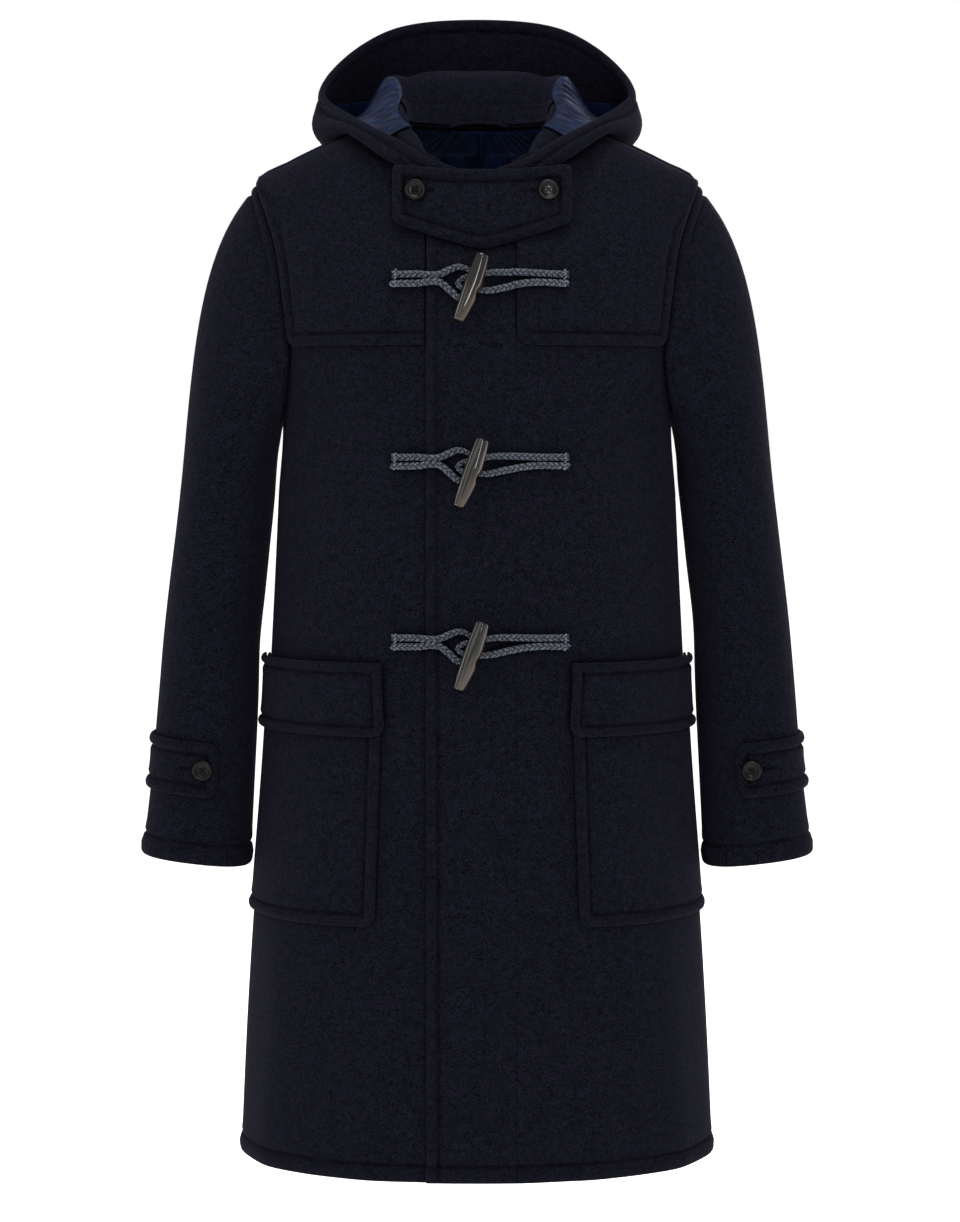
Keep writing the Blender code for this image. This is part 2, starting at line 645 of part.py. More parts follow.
# Routes of the cords: x, height from the row's middle, height off the cloth as layers of cord, width
LOOP_ROUTE = [(-0.0825, 0.0043, 0, 1.0), (-0.0600, 0.0043, 0, 1.0), (-0.0350, 0.0042, 0, 1.0),
              (-0.0265, 0.0080, 0, 1.0), (-0.0180, 0.0110, 0, 0.9), (-0.0070, 0.0070, 0, 0.72),
              (-0.0035, -0.0040, 0, 0.72), (-0.0085, -0.0150, 0, 0.72), (-0.0175, -0.0185, 0, 0.9),
              (-0.0260, -0.0115, 0, 1.0), (-0.0350, -0.0042, 0, 1.0), (-0.0600, -0.0043, 0, 1.0),
              (-0.0825, -0.0043, 0, 1.0)]
TOGGLE_ROUTE = [(0.0885, 0.0043, 0, 1.0), (0.0600, 0.0043, 0, 1.0), (0.0350, 0.0050, 0.05, 1.0),
                (0.0150, 0.0046, 0.45, 0.9), (0.0000, 0.0010, 1, 0.72), (-0.0120, -0.0005, 0.9, 0.72),
                (-0.0190, -0.0058, 0.6, 0.72), (-0.0120, -0.0110, 0.9, 0.72), (0.0000, -0.0125, 1, 0.72),
                (0.0120, -0.0120, 0.5, 0.9), (0.0280, -0.0085, 0.05, 1.0), (0.0500, -0.0045, 0, 1.0),
                (0.0885, -0.0043, 0, 1.0)]
CORD_LIFT = 0.0006
CROSSING = 0.0064       # how much higher a cord lies where it crosses another
TOGGLE_OUT = 0.0245     # middle of the toggle, off the fronts' outer face


def cloth_under(x, covered):
    """Height of the cloth under a cord at this x, off the fronts' outer face, in layers; covered by a yoke or not."""
    yoke = 1.0 if covered else 0.0
    places = (BAND_EDGE - 0.014, BAND_EDGE - 0.005, BAND_SEAM - 0.008, BAND_SEAM - 0.004, 0.060, 0.095)
    layers = (yoke, 1.0, 1.0, 1.0 + yoke, 0.75 + yoke, 0.1 + yoke)
    return STEP * float(np.interp(x, places, layers))


def build_cords(row, level):
    for name, stops, count in (("loop_cord", LOOP_ROUTE, 24), ("toggle_cord", TOGGLE_ROUTE, 26)):
        path = route(stops, count)
        points = []
        for x, rise, layer, width in path:
            seat = cloth_under(x, level > YOKE_HEM) + CORD_LIFT + CORD / 2 * width + CROSSING * max(layer, 0.0)
            points.append(front_spot(x, level + rise, seat)[0])
        tube(f"{name}_{row}", points, CORD / 2, BRAID, path[:, 3])


TOGGLE_PROFILE = ((0.0, 1.0), (0.0046, 1.0), (0.0060, 0.965), (0.0078, 0.5), (0.0086, 0.05),
                  (0.0076, -0.45), (0.0052, -0.955), (0.0040, -1.0), (0.0, -1.0))


def build_toggle(row, level):
    centre, normal = front_spot(-0.0055, level - 0.0125, TOGGLE_OUT)
    half = TOGGLE_LENGTH / 2
    toggle = turned(f"toggle_{row}", [(radius, share * half) for radius, share in TOGGLE_PROFILE], HORN, 16)
    tilt = math.radians(TOGGLE_TILT)
    up = np.array([0.0, 0.0, 1.0]) - normal * normal[2]
    up /= np.linalg.norm(up)
    aside = np.cross(up, -normal)
    axis = up * math.cos(tilt) + aside * math.sin(tilt) * np.sign(aside[0])
    aligned(toggle, centre, axis)
    return toggle


def build_hanger():
    turns = np.radians(np.linspace(60, 90, 16))
    lying = hood(turns, np.full(16, 0.012), -CLOTH / 2 - 3 * LIFT - FACING - LOOP_RADIUS)
    x = np.linspace(-0.028, 0.031, 13)
    y = np.interp(np.abs(x), lying[::-1, 0], lying[::-1, 1])
    rise = np.sin(np.linspace(0, math.pi, 13)) ** 0.7
    points = np.stack([x, y, LOOP_LEVEL + LOOP_RISE * rise], axis=-1)
    tube("hanger_loop", points, LOOP_RADIUS, WOOL)


build_fronts()
build_back()
build_yokes()
build_pockets()
build_sleeves()
build_hood()
build_back_lining()
build_tab()
build_buttons()
for row_name, row_level in TOGGLE_ROWS.items():
    build_cords(row_name, row_level)
    build_toggle(row_name, row_level)
build_hanger()
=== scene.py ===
# %% [markdown]
# # A hooded duffle coat
#
# A duffle coat is cut from melton, a thick wool that is felted until no weave shows. The cloth hardly
# creases, and its edges are folded in and stitched down, so they roll. Toggles of horn close it, in loops
# of plaited cord.
#
# This scene gives a packed, plain model its looks. Every piece of cloth is made again on a fine grid, in
# the same place, with rolled edges, sewn grooves, soft folds and real stitches. The units are metres, +Z is
# up, the front faces -Y and the wearer's left is +X.

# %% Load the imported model
import math

import bpy
import numpy as np
from mathutils import Matrix, Vector


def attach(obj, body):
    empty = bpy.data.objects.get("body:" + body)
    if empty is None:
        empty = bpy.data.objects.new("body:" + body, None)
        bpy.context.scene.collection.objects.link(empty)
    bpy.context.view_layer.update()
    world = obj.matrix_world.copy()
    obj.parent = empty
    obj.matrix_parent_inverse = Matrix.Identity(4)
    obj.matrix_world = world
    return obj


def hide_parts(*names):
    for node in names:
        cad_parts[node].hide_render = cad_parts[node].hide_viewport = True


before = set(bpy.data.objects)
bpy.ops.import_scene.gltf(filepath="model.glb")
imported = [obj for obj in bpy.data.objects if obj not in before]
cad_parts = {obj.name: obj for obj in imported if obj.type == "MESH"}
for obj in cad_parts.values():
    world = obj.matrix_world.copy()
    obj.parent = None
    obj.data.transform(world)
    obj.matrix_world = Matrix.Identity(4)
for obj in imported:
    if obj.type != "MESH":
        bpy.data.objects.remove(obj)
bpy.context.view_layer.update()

# %% [markdown]
# ## Sizes
#
# A few sizes drive the coat: the wall of the cloth, the gaps between its layers, and the levels where yokes,
# flaps, pockets and hem end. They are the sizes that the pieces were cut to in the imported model.

# %% Driving sizes
CLOTH = 0.0028
SATIN = 0.0012
FACING = 0.0020
LIFT = 0.0007
STEP = CLOTH + LIFT
SQUARENESS = 1.2
SEAM_LAP = 0.0006       # how far the edges of a seam press into each other

YOKE_HEM = -0.205
UNDERARM = -0.264
FLAP_TOP = -0.517
FLAP_HEM = -0.590
POCKET_HEM = -0.778
COAT_HEM = -1.030
ARMHOLE_ANGLE = 29.3
BAND_EDGE = -0.050
BAND_SEAM = 0.039
UNDER_EDGE = 0.033
POCKET_ANGLE = 68.3
CORNER = 0.012
TOGGLE_ROWS = {"top": -0.1417, "middle": -0.3194, "bottom": -0.4960}

BODY_COLUMNS = ("half_width", "front", "back", "z_front", "z_side", "z_back")
BODY = np.array([
    (0.0800, 0.085, 0.066, -0.075, 0.0260, 0.0260),
    (0.1160, 0.093, 0.082, -0.083, 0.0135, 0.0140),
    (0.1500, 0.100, 0.097, -0.094, -0.0005, 0.0020),
    (0.1880, 0.108, 0.109, -0.108, -0.0190, -0.0240),
    (0.2215, 0.116, 0.118, -0.125, -0.0385, -0.0500),
    (0.2230, 0.121, 0.122, -0.140, -0.0550, -0.0720),
    (0.2210, 0.125, 0.126, -0.158, -0.0830, -0.1000),
    (0.2180, 0.129, 0.130, -0.178, -0.1240, -0.1400),
    (0.2090, 0.132, 0.132, YOKE_HEM, YOKE_HEM, YOKE_HEM),
    (0.2035, 0.133, 0.132, -0.240, -0.240, -0.240),
    (0.2000, 0.134, 0.132, UNDERARM, UNDERARM, UNDERARM),
    (0.2040, 0.142, 0.128, -0.360, -0.360, -0.360),
    (0.2120, 0.148, 0.128, FLAP_TOP, FLAP_TOP, FLAP_TOP),
    (0.2160, 0.152, 0.131, FLAP_HEM, FLAP_HEM, FLAP_HEM),
    (0.2295, 0.158, 0.140, POCKET_HEM, POCKET_HEM, POCKET_HEM),
    (0.2430, 0.165, 0.150, COAT_HEM, COAT_HEM, COAT_HEM),
])
SHOULDER_TIP = 4

# %% [markdown]
# ## Camera, floor and light
#
# The camera comes first, because every later choice is judged through it. It stands nearly three metres
# away with a long lens, a little above the coat's middle, so the coat keeps its straight lines. The coat
# hangs as if worn, clear of a plain pale floor, in a room that is white all round, so it can be looked at
# from any side. Large soft lights wrap round the dark cloth, low side lights pick out the nap on its edges,
# and the key light is a tall narrow one, which draws one bright line down each polished toggle.

# %% Camera
camera_data = bpy.data.cameras.new("camera")
camera_data.lens = 82.9
camera_data.sensor_width = 36.0
camera_data.dof.use_dof = False
camera = bpy.data.objects.new("camera", camera_data)
camera.location = (0.003, -2.9, -0.288)
camera.rotation_euler = (math.radians(90.0 - 3.68), 0.0, 0.0)
bpy.context.scene.collection.objects.link(camera)
bpy.context.scene.camera = camera
bpy.context.scene.view_settings.view_transform = "Standard"
print("camera at", tuple(camera.location), "lens", camera_data.lens)


# %% Colours and nodes
def colour(code):
    """The linear colour of an sRGB hex code, such as 1B2A4A."""
    channels = []
    for place in (0, 2, 4):
        value = int(code[place:place + 2], 16) / 255.0
        channels.append(value / 12.92 if value <= 0.04045 else ((value + 0.055) / 1.055) ** 2.4)
    return (*channels, 1.0)


def node(tree, kind, values=None, links=None, **settings):
    """Adds a node of this kind; values fill its sockets, and links join other nodes' sockets to them."""
    made = tree.nodes.new(kind)
    for setting, value in settings.items():
        setattr(made, setting, value)
    for socket, value in (values or {}).items():
        made.inputs[socket].default_value = value
    for socket, source in (links or {}).items():
        tree.links.new(source, made.inputs[socket])
    return made


def new_material(name, **sockets):
    """A material of this name, its node tree and its shader, with these values on the shader's sockets."""
    made = bpy.data.materials.new(name)
    made.use_nodes = True
    tree = made.node_tree
    shader = tree.nodes["Principled BSDF"]
    for socket, value in sockets.items():
        shader.inputs[socket.replace("_", " ")].default_value = value
    return made, tree, shader


# %% Floor and lights
paper, _, paper_shader = new_material("white studio paper", Roughness=0.9)
paper_shader.inputs["Base Color"].default_value = colour("F4F4F4")
# The real paper is lit until it is pure white; a little light of its own does that here.
paper_shader.inputs["Emission Color"].default_value = (1.0, 1.0, 1.0, 1.0)
paper_shader.inputs["Emission Strength"].default_value = 0.86
FLOOR_LEVEL = -1.30
FLOOR_REACH = 40.0
floor_mesh = bpy.data.meshes.new("studio_floor")
floor_mesh.from_pydata([(x * FLOOR_REACH, y * FLOOR_REACH, FLOOR_LEVEL)
                        for x, y in ((-1, -1), (1, -1), (1, 1), (-1, 1))], [], [(0, 1, 2, 3)])
floor_mesh.materials.append(paper)
floor = bpy.data.objects.new("studio_floor", floor_mesh)
bpy.context.scene.collection.objects.link(floor)

# The room is pure white to look at, but lights the coat with only this share of that.
ROOM_LIGHT = 0.40
world = bpy.data.worlds.new("studio")
world.use_nodes = True
room = world.node_tree.nodes["Background"]
room.inputs["Color"].default_value = (1.0, 1.0, 1.0, 1.0)
ray = node(world.node_tree, "ShaderNodeLightPath")
strength = node(world.node_tree, "ShaderNodeMapRange", {"To Min": ROOM_LIGHT, "To Max": 1.0},
                {"Value": ray.outputs["Is Camera Ray"]})
world.node_tree.links.new(strength.outputs["Result"], room.inputs["Strength"])
bpy.context.scene.world = world

LIGHTS = (  # name, place, aim, width, height, watts
    ("key", (0.5, -2.7, 0.8), (0.0, 0.0, -0.35), 0.35, 1.6, 29.0),
    ("fill", (-1.9, -2.3, 0.3), (0.0, 0.0, -0.45), 1.6, 2.4, 16.0),
    ("left_edge", (-2.2, 0.4, -0.1), (0.0, 0.0, -0.4), 0.7, 2.4, 14.0),
    ("right_edge", (2.2, 0.4, -0.1), (0.0, 0.0, -0.4), 0.7, 2.4, 14.0),
    ("top", (0.0, -0.5, 2.0), (0.0, 0.0, 0.0), 1.6, 1.2, 40.0),
    ("back", (0.9, 2.9, 0.9), (0.0, 0.0, -0.4), 1.8, 2.0, 34.0),
)
for name, place, aim, width, height, watts in LIGHTS:
    lamp = bpy.data.lights.new(name, "AREA")
    lamp.shape = "RECTANGLE"
    lamp.size = width
    lamp.size_y = height
    lamp.energy = watts
    light = bpy.data.objects.new(name, lamp)
    light.location = place
    light.rotation_euler = (Vector(aim) - Vector(place)).to_track_quat("-Z", "Y").to_euler()
    bpy.context.scene.collection.objects.link(light)
print("lights:", len(LIGHTS))

# %% [markdown]
# ## The coat's form
#
# The body is a stack of plan curves, one for each level, from the neck seam to the hem. A point on it is
# named by its drop, the length of cloth below the neck seam, and its angle round the body: 0 at the wearer's
# left side, a quarter turn back at the middle front. Everything sewn to the body is made from the same
# points, moved outwards, so layers can't cut into each other.

# %% Lengths, units and grids
def lengths_along(points):
    """Length run at each point of a line, from 0 at its first point."""
    return np.concatenate([[0.0], np.cumsum(np.linalg.norm(np.diff(points, axis=0), axis=1))])


def read_at(places, run, values):
    """The rows of values, given at the lengths in run, read at these places."""
    return np.stack([np.interp(places, run, values[:, k]) for k in range(values.shape[1])], axis=-1)


def unit(vector):
    """The vector, or each one of a grid of them, at length 1."""
    return vector / (np.linalg.norm(vector, axis=-1, keepdims=True) + 1e-12)


def grids(*values):
    """These numbers or arrays as arrays of one shape."""
    return np.broadcast_arrays(*(np.asarray(value, float) for value in values))


def gauss(away, spread):
    """A bell: 1 where away is 0, fading out over the spread."""
    return np.exp(-(away / spread) ** 2)


# %% Curves and rings
def curve_through(knots, values, at):
    """Cubic curve through the rows of values, read at the positions in at."""
    at = np.clip(np.asarray(at, float), knots[0], knots[-1])
    slopes = np.gradient(values, knots, axis=0)
    row = np.clip(np.searchsorted(knots, at, side="right") - 1, 0, len(knots) - 2)
    span = knots[row + 1] - knots[row]
    s = ((at - knots[row]) / span)[..., None]
    span = span[..., None]
    return ((2 * s**3 - 3 * s**2 + 1) * values[row] + (s**3 - 2 * s**2 + s) * span * slopes[row]
            + (3 * s**2 - 2 * s**3) * values[row + 1] + (s**3 - s**2) * span * slopes[row + 1])


def smooth(value, low, high):
    """0 below low, 1 above high, and an easy rise between them."""
    share = np.clip((np.asarray(value, float) - low) / (high - low), 0, 1)
    return share * share * (3 - 2 * share)


def squared(angle, wide, deep):
    """Plan curve: a point at this angle on a squared ellipse."""
    cosine = np.cos(angle)
    sine = np.sin(angle)
    x = wide * np.sign(cosine) * np.abs(cosine) ** (1 / SQUARENESS)
    y = deep * np.sign(sine) * np.abs(sine) ** (1 / SQUARENESS)
    return x, y


def ring_point(ring, angle):
    """Point of the coat at this angle on a ring with the columns of BODY."""
    wide, front, back, z_front, z_side, z_back = np.moveaxis(ring, -1, 0)
    behind = np.sin(angle) > 0
    x, y = squared(angle, wide, np.where(behind, back, front))
    z = z_side + (np.where(behind, z_back, z_front) - z_side) * np.sin(angle) ** 2
    return np.stack([x, y, z], axis=-1)


DIAGONAL = ring_point(BODY, np.full(len(BODY), -math.pi / 4))
DROPS = lengths_along(DIAGONAL)
TIP_DROP = DROPS[SHOULDER_TIP]


def drop_of(z):
    """Drop of a level row, at or below the yokes' hem."""
    level = BODY[:, BODY_COLUMNS.index("z_side")]
    return float(np.interp(-z, -level[SHOULDER_TIP:], DROPS[SHOULDER_TIP:]))


UNDERARM_DROP = drop_of(UNDERARM)
print("cloth from neck seam to hem:", round(DROPS[-1], 3), "m")


# %% [markdown]
# ## Soft folds
#
# Melton is stiff, so a worn coat shows no sharp folds, only long shallow waves: from the underarms, over the
# hips, and down the skirt. They could be simulated, but a stiff cloth would hardly move. So each wave is
# listed in a table: where its middle is, how long and wide it is, how high, and how much it leans.
# Front, back and both sides have their own, all different.

# %% Waves in the cloth
def waves(down, turn, table):
    """Height of all the waves at these places; the table's sizes are metres down and degrees round."""
    height = np.zeros(np.broadcast(down, turn).shape)
    degrees = np.degrees(turn)
    for middle, around, long, wide, high, lean in table:
        away = (degrees - around - lean * (down - middle) + 180.0) % 360.0 - 180.0
        height += high * gauss(down - middle, long) * gauss(away, wide)
    return height


# Columns: drop, angle in degrees, half length, half width in degrees, height, lean in degrees per metre.
BODY_WAVES = (
    (0.72, -52.0, 0.22, 6.0, 0.0022, 8.0), (0.98, -38.0, 0.20, 8.0, 0.0035, 10.0),
    (1.02, -66.0, 0.16, 6.0, 0.0020, -8.0), (0.36, -40.0, 0.09, 7.0, -0.0022, 60.0),
    (0.34, -58.0, 0.14, 9.0, 0.0016, 30.0), (1.00, -12.0, 0.22, 9.0, 0.0030, 0.0),
    (0.75, -130.0, 0.24, 7.0, 0.0020, -8.0), (1.00, -146.0, 0.20, 8.0, 0.0032, -12.0),
    (1.05, -112.0, 0.14, 6.0, 0.0018, 6.0), (0.37, -141.0, 0.08, 7.0, -0.0022, -55.0),
    (0.98, -172.0, 0.22, 9.0, 0.0028, 0.0), (0.30, 90.0, 0.10, 30.0, 0.0030, 0.0),
    (0.44, 72.0, 0.16, 8.0, -0.0028, 20.0), (0.46, 110.0, 0.17, 8.0, -0.0026, -24.0),
    (0.95, 62.0, 0.28, 9.0, 0.0045, 6.0), (0.98, 88.0, 0.26, 8.0, -0.0030, 3.0),
    (0.95, 112.0, 0.28, 9.0, 0.0042, -5.0), (1.02, 134.0, 0.20, 7.0, -0.0028, -8.0),
    (1.00, 40.0, 0.20, 7.0, -0.0028, 8.0), (0.62, 30.0, 0.16, 8.0, 0.0020, 14.0),
    (0.60, 152.0, 0.16, 8.0, 0.0022, -16.0), (0.24, 60.0, 0.07, 9.0, -0.0018, 40.0),
    (0.24, 121.0, 0.07, 9.0, -0.0018, -40.0),
)


def coat_surface(drop, angle):
    """Outer face of the body, with its waves; they fade out at the neck."""
    point = ring_point(curve_through(DROPS, BODY, drop), angle)
    height = waves(drop, angle, BODY_WAVES) * smooth(drop, 0.12, 0.24)
    point[..., 0] += height * np.cos(angle)
    point[..., 1] += height * np.sin(angle)
    return point


def moved_out(surface, first, second, out, small=1e-4):
    """Points of a surface moved out along its normals."""
    first, second = grids(first, second)
    along = surface(first + small, second) - surface(first - small, second)
    across = surface(first, second + small) - surface(first, second - small)
    normal = unit(np.cross(along, across))
    return surface(first, second) + normal * np.asarray(out)[..., None]


def body(drop, angle, out=0.0):
    """Point of the coat, out from its outer face."""
    return moved_out(coat_surface, drop, angle, out)


def armhole(drop):
    """Half the armhole's opening angle at this drop: 0 at the shoulder tip, at the underarm and past them."""
    share = np.clip((np.asarray(drop, float) - TIP_DROP) / (UNDERARM_DROP - TIP_DROP), 0, 1)
    return math.radians(ARMHOLE_ANGLE) * np.sqrt(1 - np.abs(2 * share - 1) ** 3)


def angle_at(drop, x):
    """Angle on the front where the coat has this x."""
    wide = curve_through(DROPS, BODY, drop)[..., 0]
    share = np.clip(np.abs(x) / wide, 0, 1) ** SQUARENESS
    return -np.arccos(np.sign(x) * share)


def side_edge(drop, inset=0.0):
    """Angle, on the wearer's left, of the side seam or of the armhole's edge, as a size above 0."""
    opening = armhole(drop)
    return opening - SEAM_LAP / 0.2 + inset


def pocket_edge(drop, seam=math.pi / 2):
    """Angle of the pocket's inner edge, as a size above 0."""
    edge = side_edge(drop)
    return np.minimum(edge + (math.pi / 2 - edge) * POCKET_ANGLE / 90, edge + (seam - edge) * 0.86)


# %% [markdown]
# ## A piece of felted cloth
#
# The real edges are cut, folded in and stitched down about 12 mm from the fold, so the cloth swells between
# the fold and the stitches, and the stitches lie in a groove. A bump map can't turn an edge over, so this is
# real shape. Each piece is a grid whose lines run parallel to its edges, close together where the edge rolls
# and where the groove lies, and wide apart in between. One function turns any such grid into a closed shell.

# %% Grid lines
def edge_lines(stitch):
    """Distances of the grid lines from an edge, in metres, with closer ones round its stitches."""
    lines = [0.0, 0.0001, 0.0004, 0.0009, 0.0016, 0.0026, 0.0044]
    if stitch:
        lines += [0.0044 + (stitch - 0.0070) * 0.5]
        lines += [stitch + near for near in (-0.0026, -0.0015, -0.0007, 0.0, 0.0007, 0.0015, 0.0026, 0.0050)]
    else:
        lines += [0.0090]
    return np.array(lines)


def grid_lines(length, first_stitch, last_stitch, step):
    """Shares of a length, from edge to edge, and which of them lie on the stitches."""
    first = edge_lines(first_stitch)
    last = edge_lines(last_stitch)
    scale = min(1.0, 0.49 * length / max(first[-1], last[-1]))
    inner = length - (first[-1] + last[-1]) * scale
    count = max(1, round(inner / step))
    between = first[-1] * scale + inner * np.arange(1, count) / count
    lines = np.concatenate([first * scale, between, (length - last * scale)[::-1]])
    on_first = len(first) - 5 if first_stitch else None
    on_last = len(lines) - len(last) + 4 if last_stitch else None
    return lines, on_first, on_last


def even_shares(line, wanted):
    """Shares along a line of points, for the wanted distances measured from its nearer end."""
    run = lengths_along(line)
    usual = wanted[-1]
    from_end = usual - wanted
    reach = np.where(wanted < usual / 2, wanted, run[-1] - from_end)
    edge = 0.030
    middle = (wanted > edge) & (from_end > edge)
    spread = edge + (wanted - edge) * (run[-1] - 2 * edge) / max(usual - 2 * edge, 1e-6)
    reach = np.where(middle & (run[-1] > 2.2 * edge) & (usual > 2.2 * edge), spread, reach)
    if run[-1] <= 2.2 * edge or usual <= 2.2 * edge:
        reach = wanted * run[-1] / usual
    return np.interp(reach, run, np.linspace(0, 1, len(line)))


def to_line(points, line):
    """Distance from each point to a line of points."""
    start = line[:-1]
    step = line[1:] - start
    square = (step**2).sum(-1) + 1e-18
    flat = points.reshape(-1, 3)
    nearest = np.full(len(flat), 1e9)
    for begin, move, size in zip(start, step, square):
        share = np.clip(((flat - begin) @ move) / size, 0, 1)
        gap = flat - begin - share[:, None] * move
        nearest = np.minimum(nearest, (gap**2).sum(-1))
    return np.sqrt(nearest).reshape(points.shape[:2])


def rounded(grid, rows, columns, corners, radius):
    """The grid with these corners rounded: each square of lines there is drawn into a quarter disc."""
    row_count, column_count = grid.shape[:2]
    row_at = np.repeat(np.arange(row_count, dtype=float)[:, None], column_count, axis=1)
    column_at = np.repeat(np.arange(column_count, dtype=float)[None, :], row_count, axis=0)
    for corner in corners:
        down = rows if corner.startswith("top") else (rows[-1] - rows)
        along = columns if corner.endswith("first") else (columns[-1] - columns)
        a = radius - down[:, None] + 0 * along[None, :]
        b = radius - along[None, :] + 0 * down[:, None]
        inside = (a > 0) & (b > 0)
        longest = np.maximum(a, b)
        scale = longest / np.maximum(np.hypot(a, b), 1e-9)
        new_down = radius - a * scale
        new_along = radius - b * scale
        order_down = np.argsort(down)
        order_along = np.argsort(along)
        row_new = np.interp(new_down, down[order_down], order_down.astype(float))
        column_new = np.interp(new_along, along[order_along], order_along.astype(float))
        row_at = np.where(inside, row_new, row_at)
        column_at = np.where(inside, column_new, column_at)
    row_low = np.clip(np.floor(row_at).astype(int), 0, row_count - 2)
    column_low = np.clip(np.floor(column_at).astype(int), 0, column_count - 2)
    s = (row_at - row_low)[..., None]
    t = (column_at - column_low)[..., None]
    return ((grid[row_low, column_low] * (1 - t) + grid[row_low, column_low + 1] * t) * (1 - s)
            + (grid[row_low + 1, column_low] * (1 - t) + grid[row_low + 1, column_low + 1] * t) * s)


# %% Swollen edges and stitched grooves
WELT = 0.0024       # how far the folded edge swells
GROOVE = 0.0019     # how deep the stitches pull the cloth in
GROOVE_WIDTH = 0.0021
BANK = 0.0005       # the low bank on the far side of the groove


def stitched_relief(distance, stitch, points):
    """Height of the cloth at this distance from an edge stitched down at the given distance."""
    uneven = 1.0 + 0.22 * np.sin(points[..., 2] * 410.0 + 1.7 * np.sin(points[..., 0] * 170.0))
    uneven = uneven + 0.18 * np.sin(points[..., 0] * 530.0 + points[..., 2] * 90.0)
    swell = WELT * np.sin(math.pi * np.clip(distance / stitch, 0, 1)) ** 0.7
    swell = swell + BANK * gauss(distance - stitch - 0.0060, 0.004)
    return swell * (0.85 + 0.15 * uneven) - GROOVE * uneven * gauss(distance - stitch, GROOVE_WIDTH)


# %% [markdown]
# ## Stitches
#
# The topstitching is a strong thread in the cloth's own colour, about two and a half stitches to the
# centimetre. Each stitch is a short bead of thread lying in its groove, so it catches the light as real
# ones do.

# %% A row of stitches
STITCH = 0.0036
STITCH_PITCH = 0.0042
THREAD = 0.00035
NEAR = 0.0005       # how far ahead and behind a stitch looks for its direction
SEWN = []           # all rows of stitches: their middle lines and the ways out


def bead_mesh(rows, pitch=STITCH_PITCH, long=STITCH, radius=THREAD, sides=6):
    """Points and faces of a bead of thread for each stitch along the rows."""
    points = []
    faces = []
    ends = ((-0.5, 0.35), (-0.32, 1.0), (0.32, 1.0), (0.5, 0.35))
    for line, out in rows:
        run = lengths_along(line)
        places = np.arange(pitch, run[-1] - pitch * 0.5, pitch)
        for place in places:
            middle = read_at(place, run, line)
            ahead = unit(read_at(place + NEAR, run, line) - read_at(place - NEAR, run, line))
            aside = unit(np.cross(ahead, read_at(place, run, out)))
            up = np.cross(aside, ahead)
            base = len(points)
            for along, size in ends:
                for k in range(sides):
                    turn = 2 * math.pi * k / sides
                    spot = middle + ahead * along * long
                    spot = spot + (aside * math.cos(turn) + up * math.sin(turn)) * radius * size
                    points.append(spot)
            faces += ring_faces(base, len(ends), sides)
            faces.append(tuple(base + k for k in reversed(range(sides))))
            faces.append(tuple(base + (len(ends) - 1) * sides + k for k in range(sides)))
    return np.array(points), faces


def add_mesh(name, points, faces, finish):
    """An object with this mesh and finish."""
    mesh = bpy.data.meshes.new(name)
    mesh.from_pydata(np.asarray(points).reshape(-1, 3).tolist(), [], faces)
    mesh.materials.append(finish)
    mesh.shade_smooth()
    made = bpy.data.objects.new(name, mesh)
    bpy.context.scene.collection.objects.link(made)
    return made


def ring_faces(base, rings, sides):
    """Faces between rings of points that follow each other from the point base."""
    faces = []
    for ring in range(rings - 1):
        low = base + ring * sides
        for k in range(sides):
            after = (k + 1) % sides
            faces.append((low + k, low + after, low + sides + after, low + sides + k))
    return faces


def on_coat(made, stands_for=None):
    """This piece belongs to the coat's one body, and the imported part it stands for is hidden."""
    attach(made, "root")
    if stands_for:
        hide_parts(stands_for)
    return made


# %% One piece of cloth
def shell_mesh(outer, inner):
    """Points and faces of two grids of the same size, joined at their shared border."""
    rows, columns = outer.shape[:2]
    index = np.arange(rows * columns).reshape(rows, columns)
    other = index + rows * columns
    other[0] = index[0]
    other[-1] = index[-1]
    other[:, 0] = index[:, 0]
    other[:, -1] = index[:, -1]
    faces = []
    for near, order in ((index, 1), (other, -1)):
        quads = np.stack([near[:-1, :-1], near[1:, :-1], near[1:, 1:], near[:-1, 1:]], axis=-1).reshape(-1, 4)
        faces.append(quads[:, ::order])
    faces = np.concatenate(faces)
    used = np.unique(faces)
    renumber = np.zeros(2 * rows * columns, int)
    renumber[used] = np.arange(len(used))
    points = np.concatenate([outer.reshape(-1, 3), inner.reshape(-1, 3)])[used]
    return points, renumber[faces]


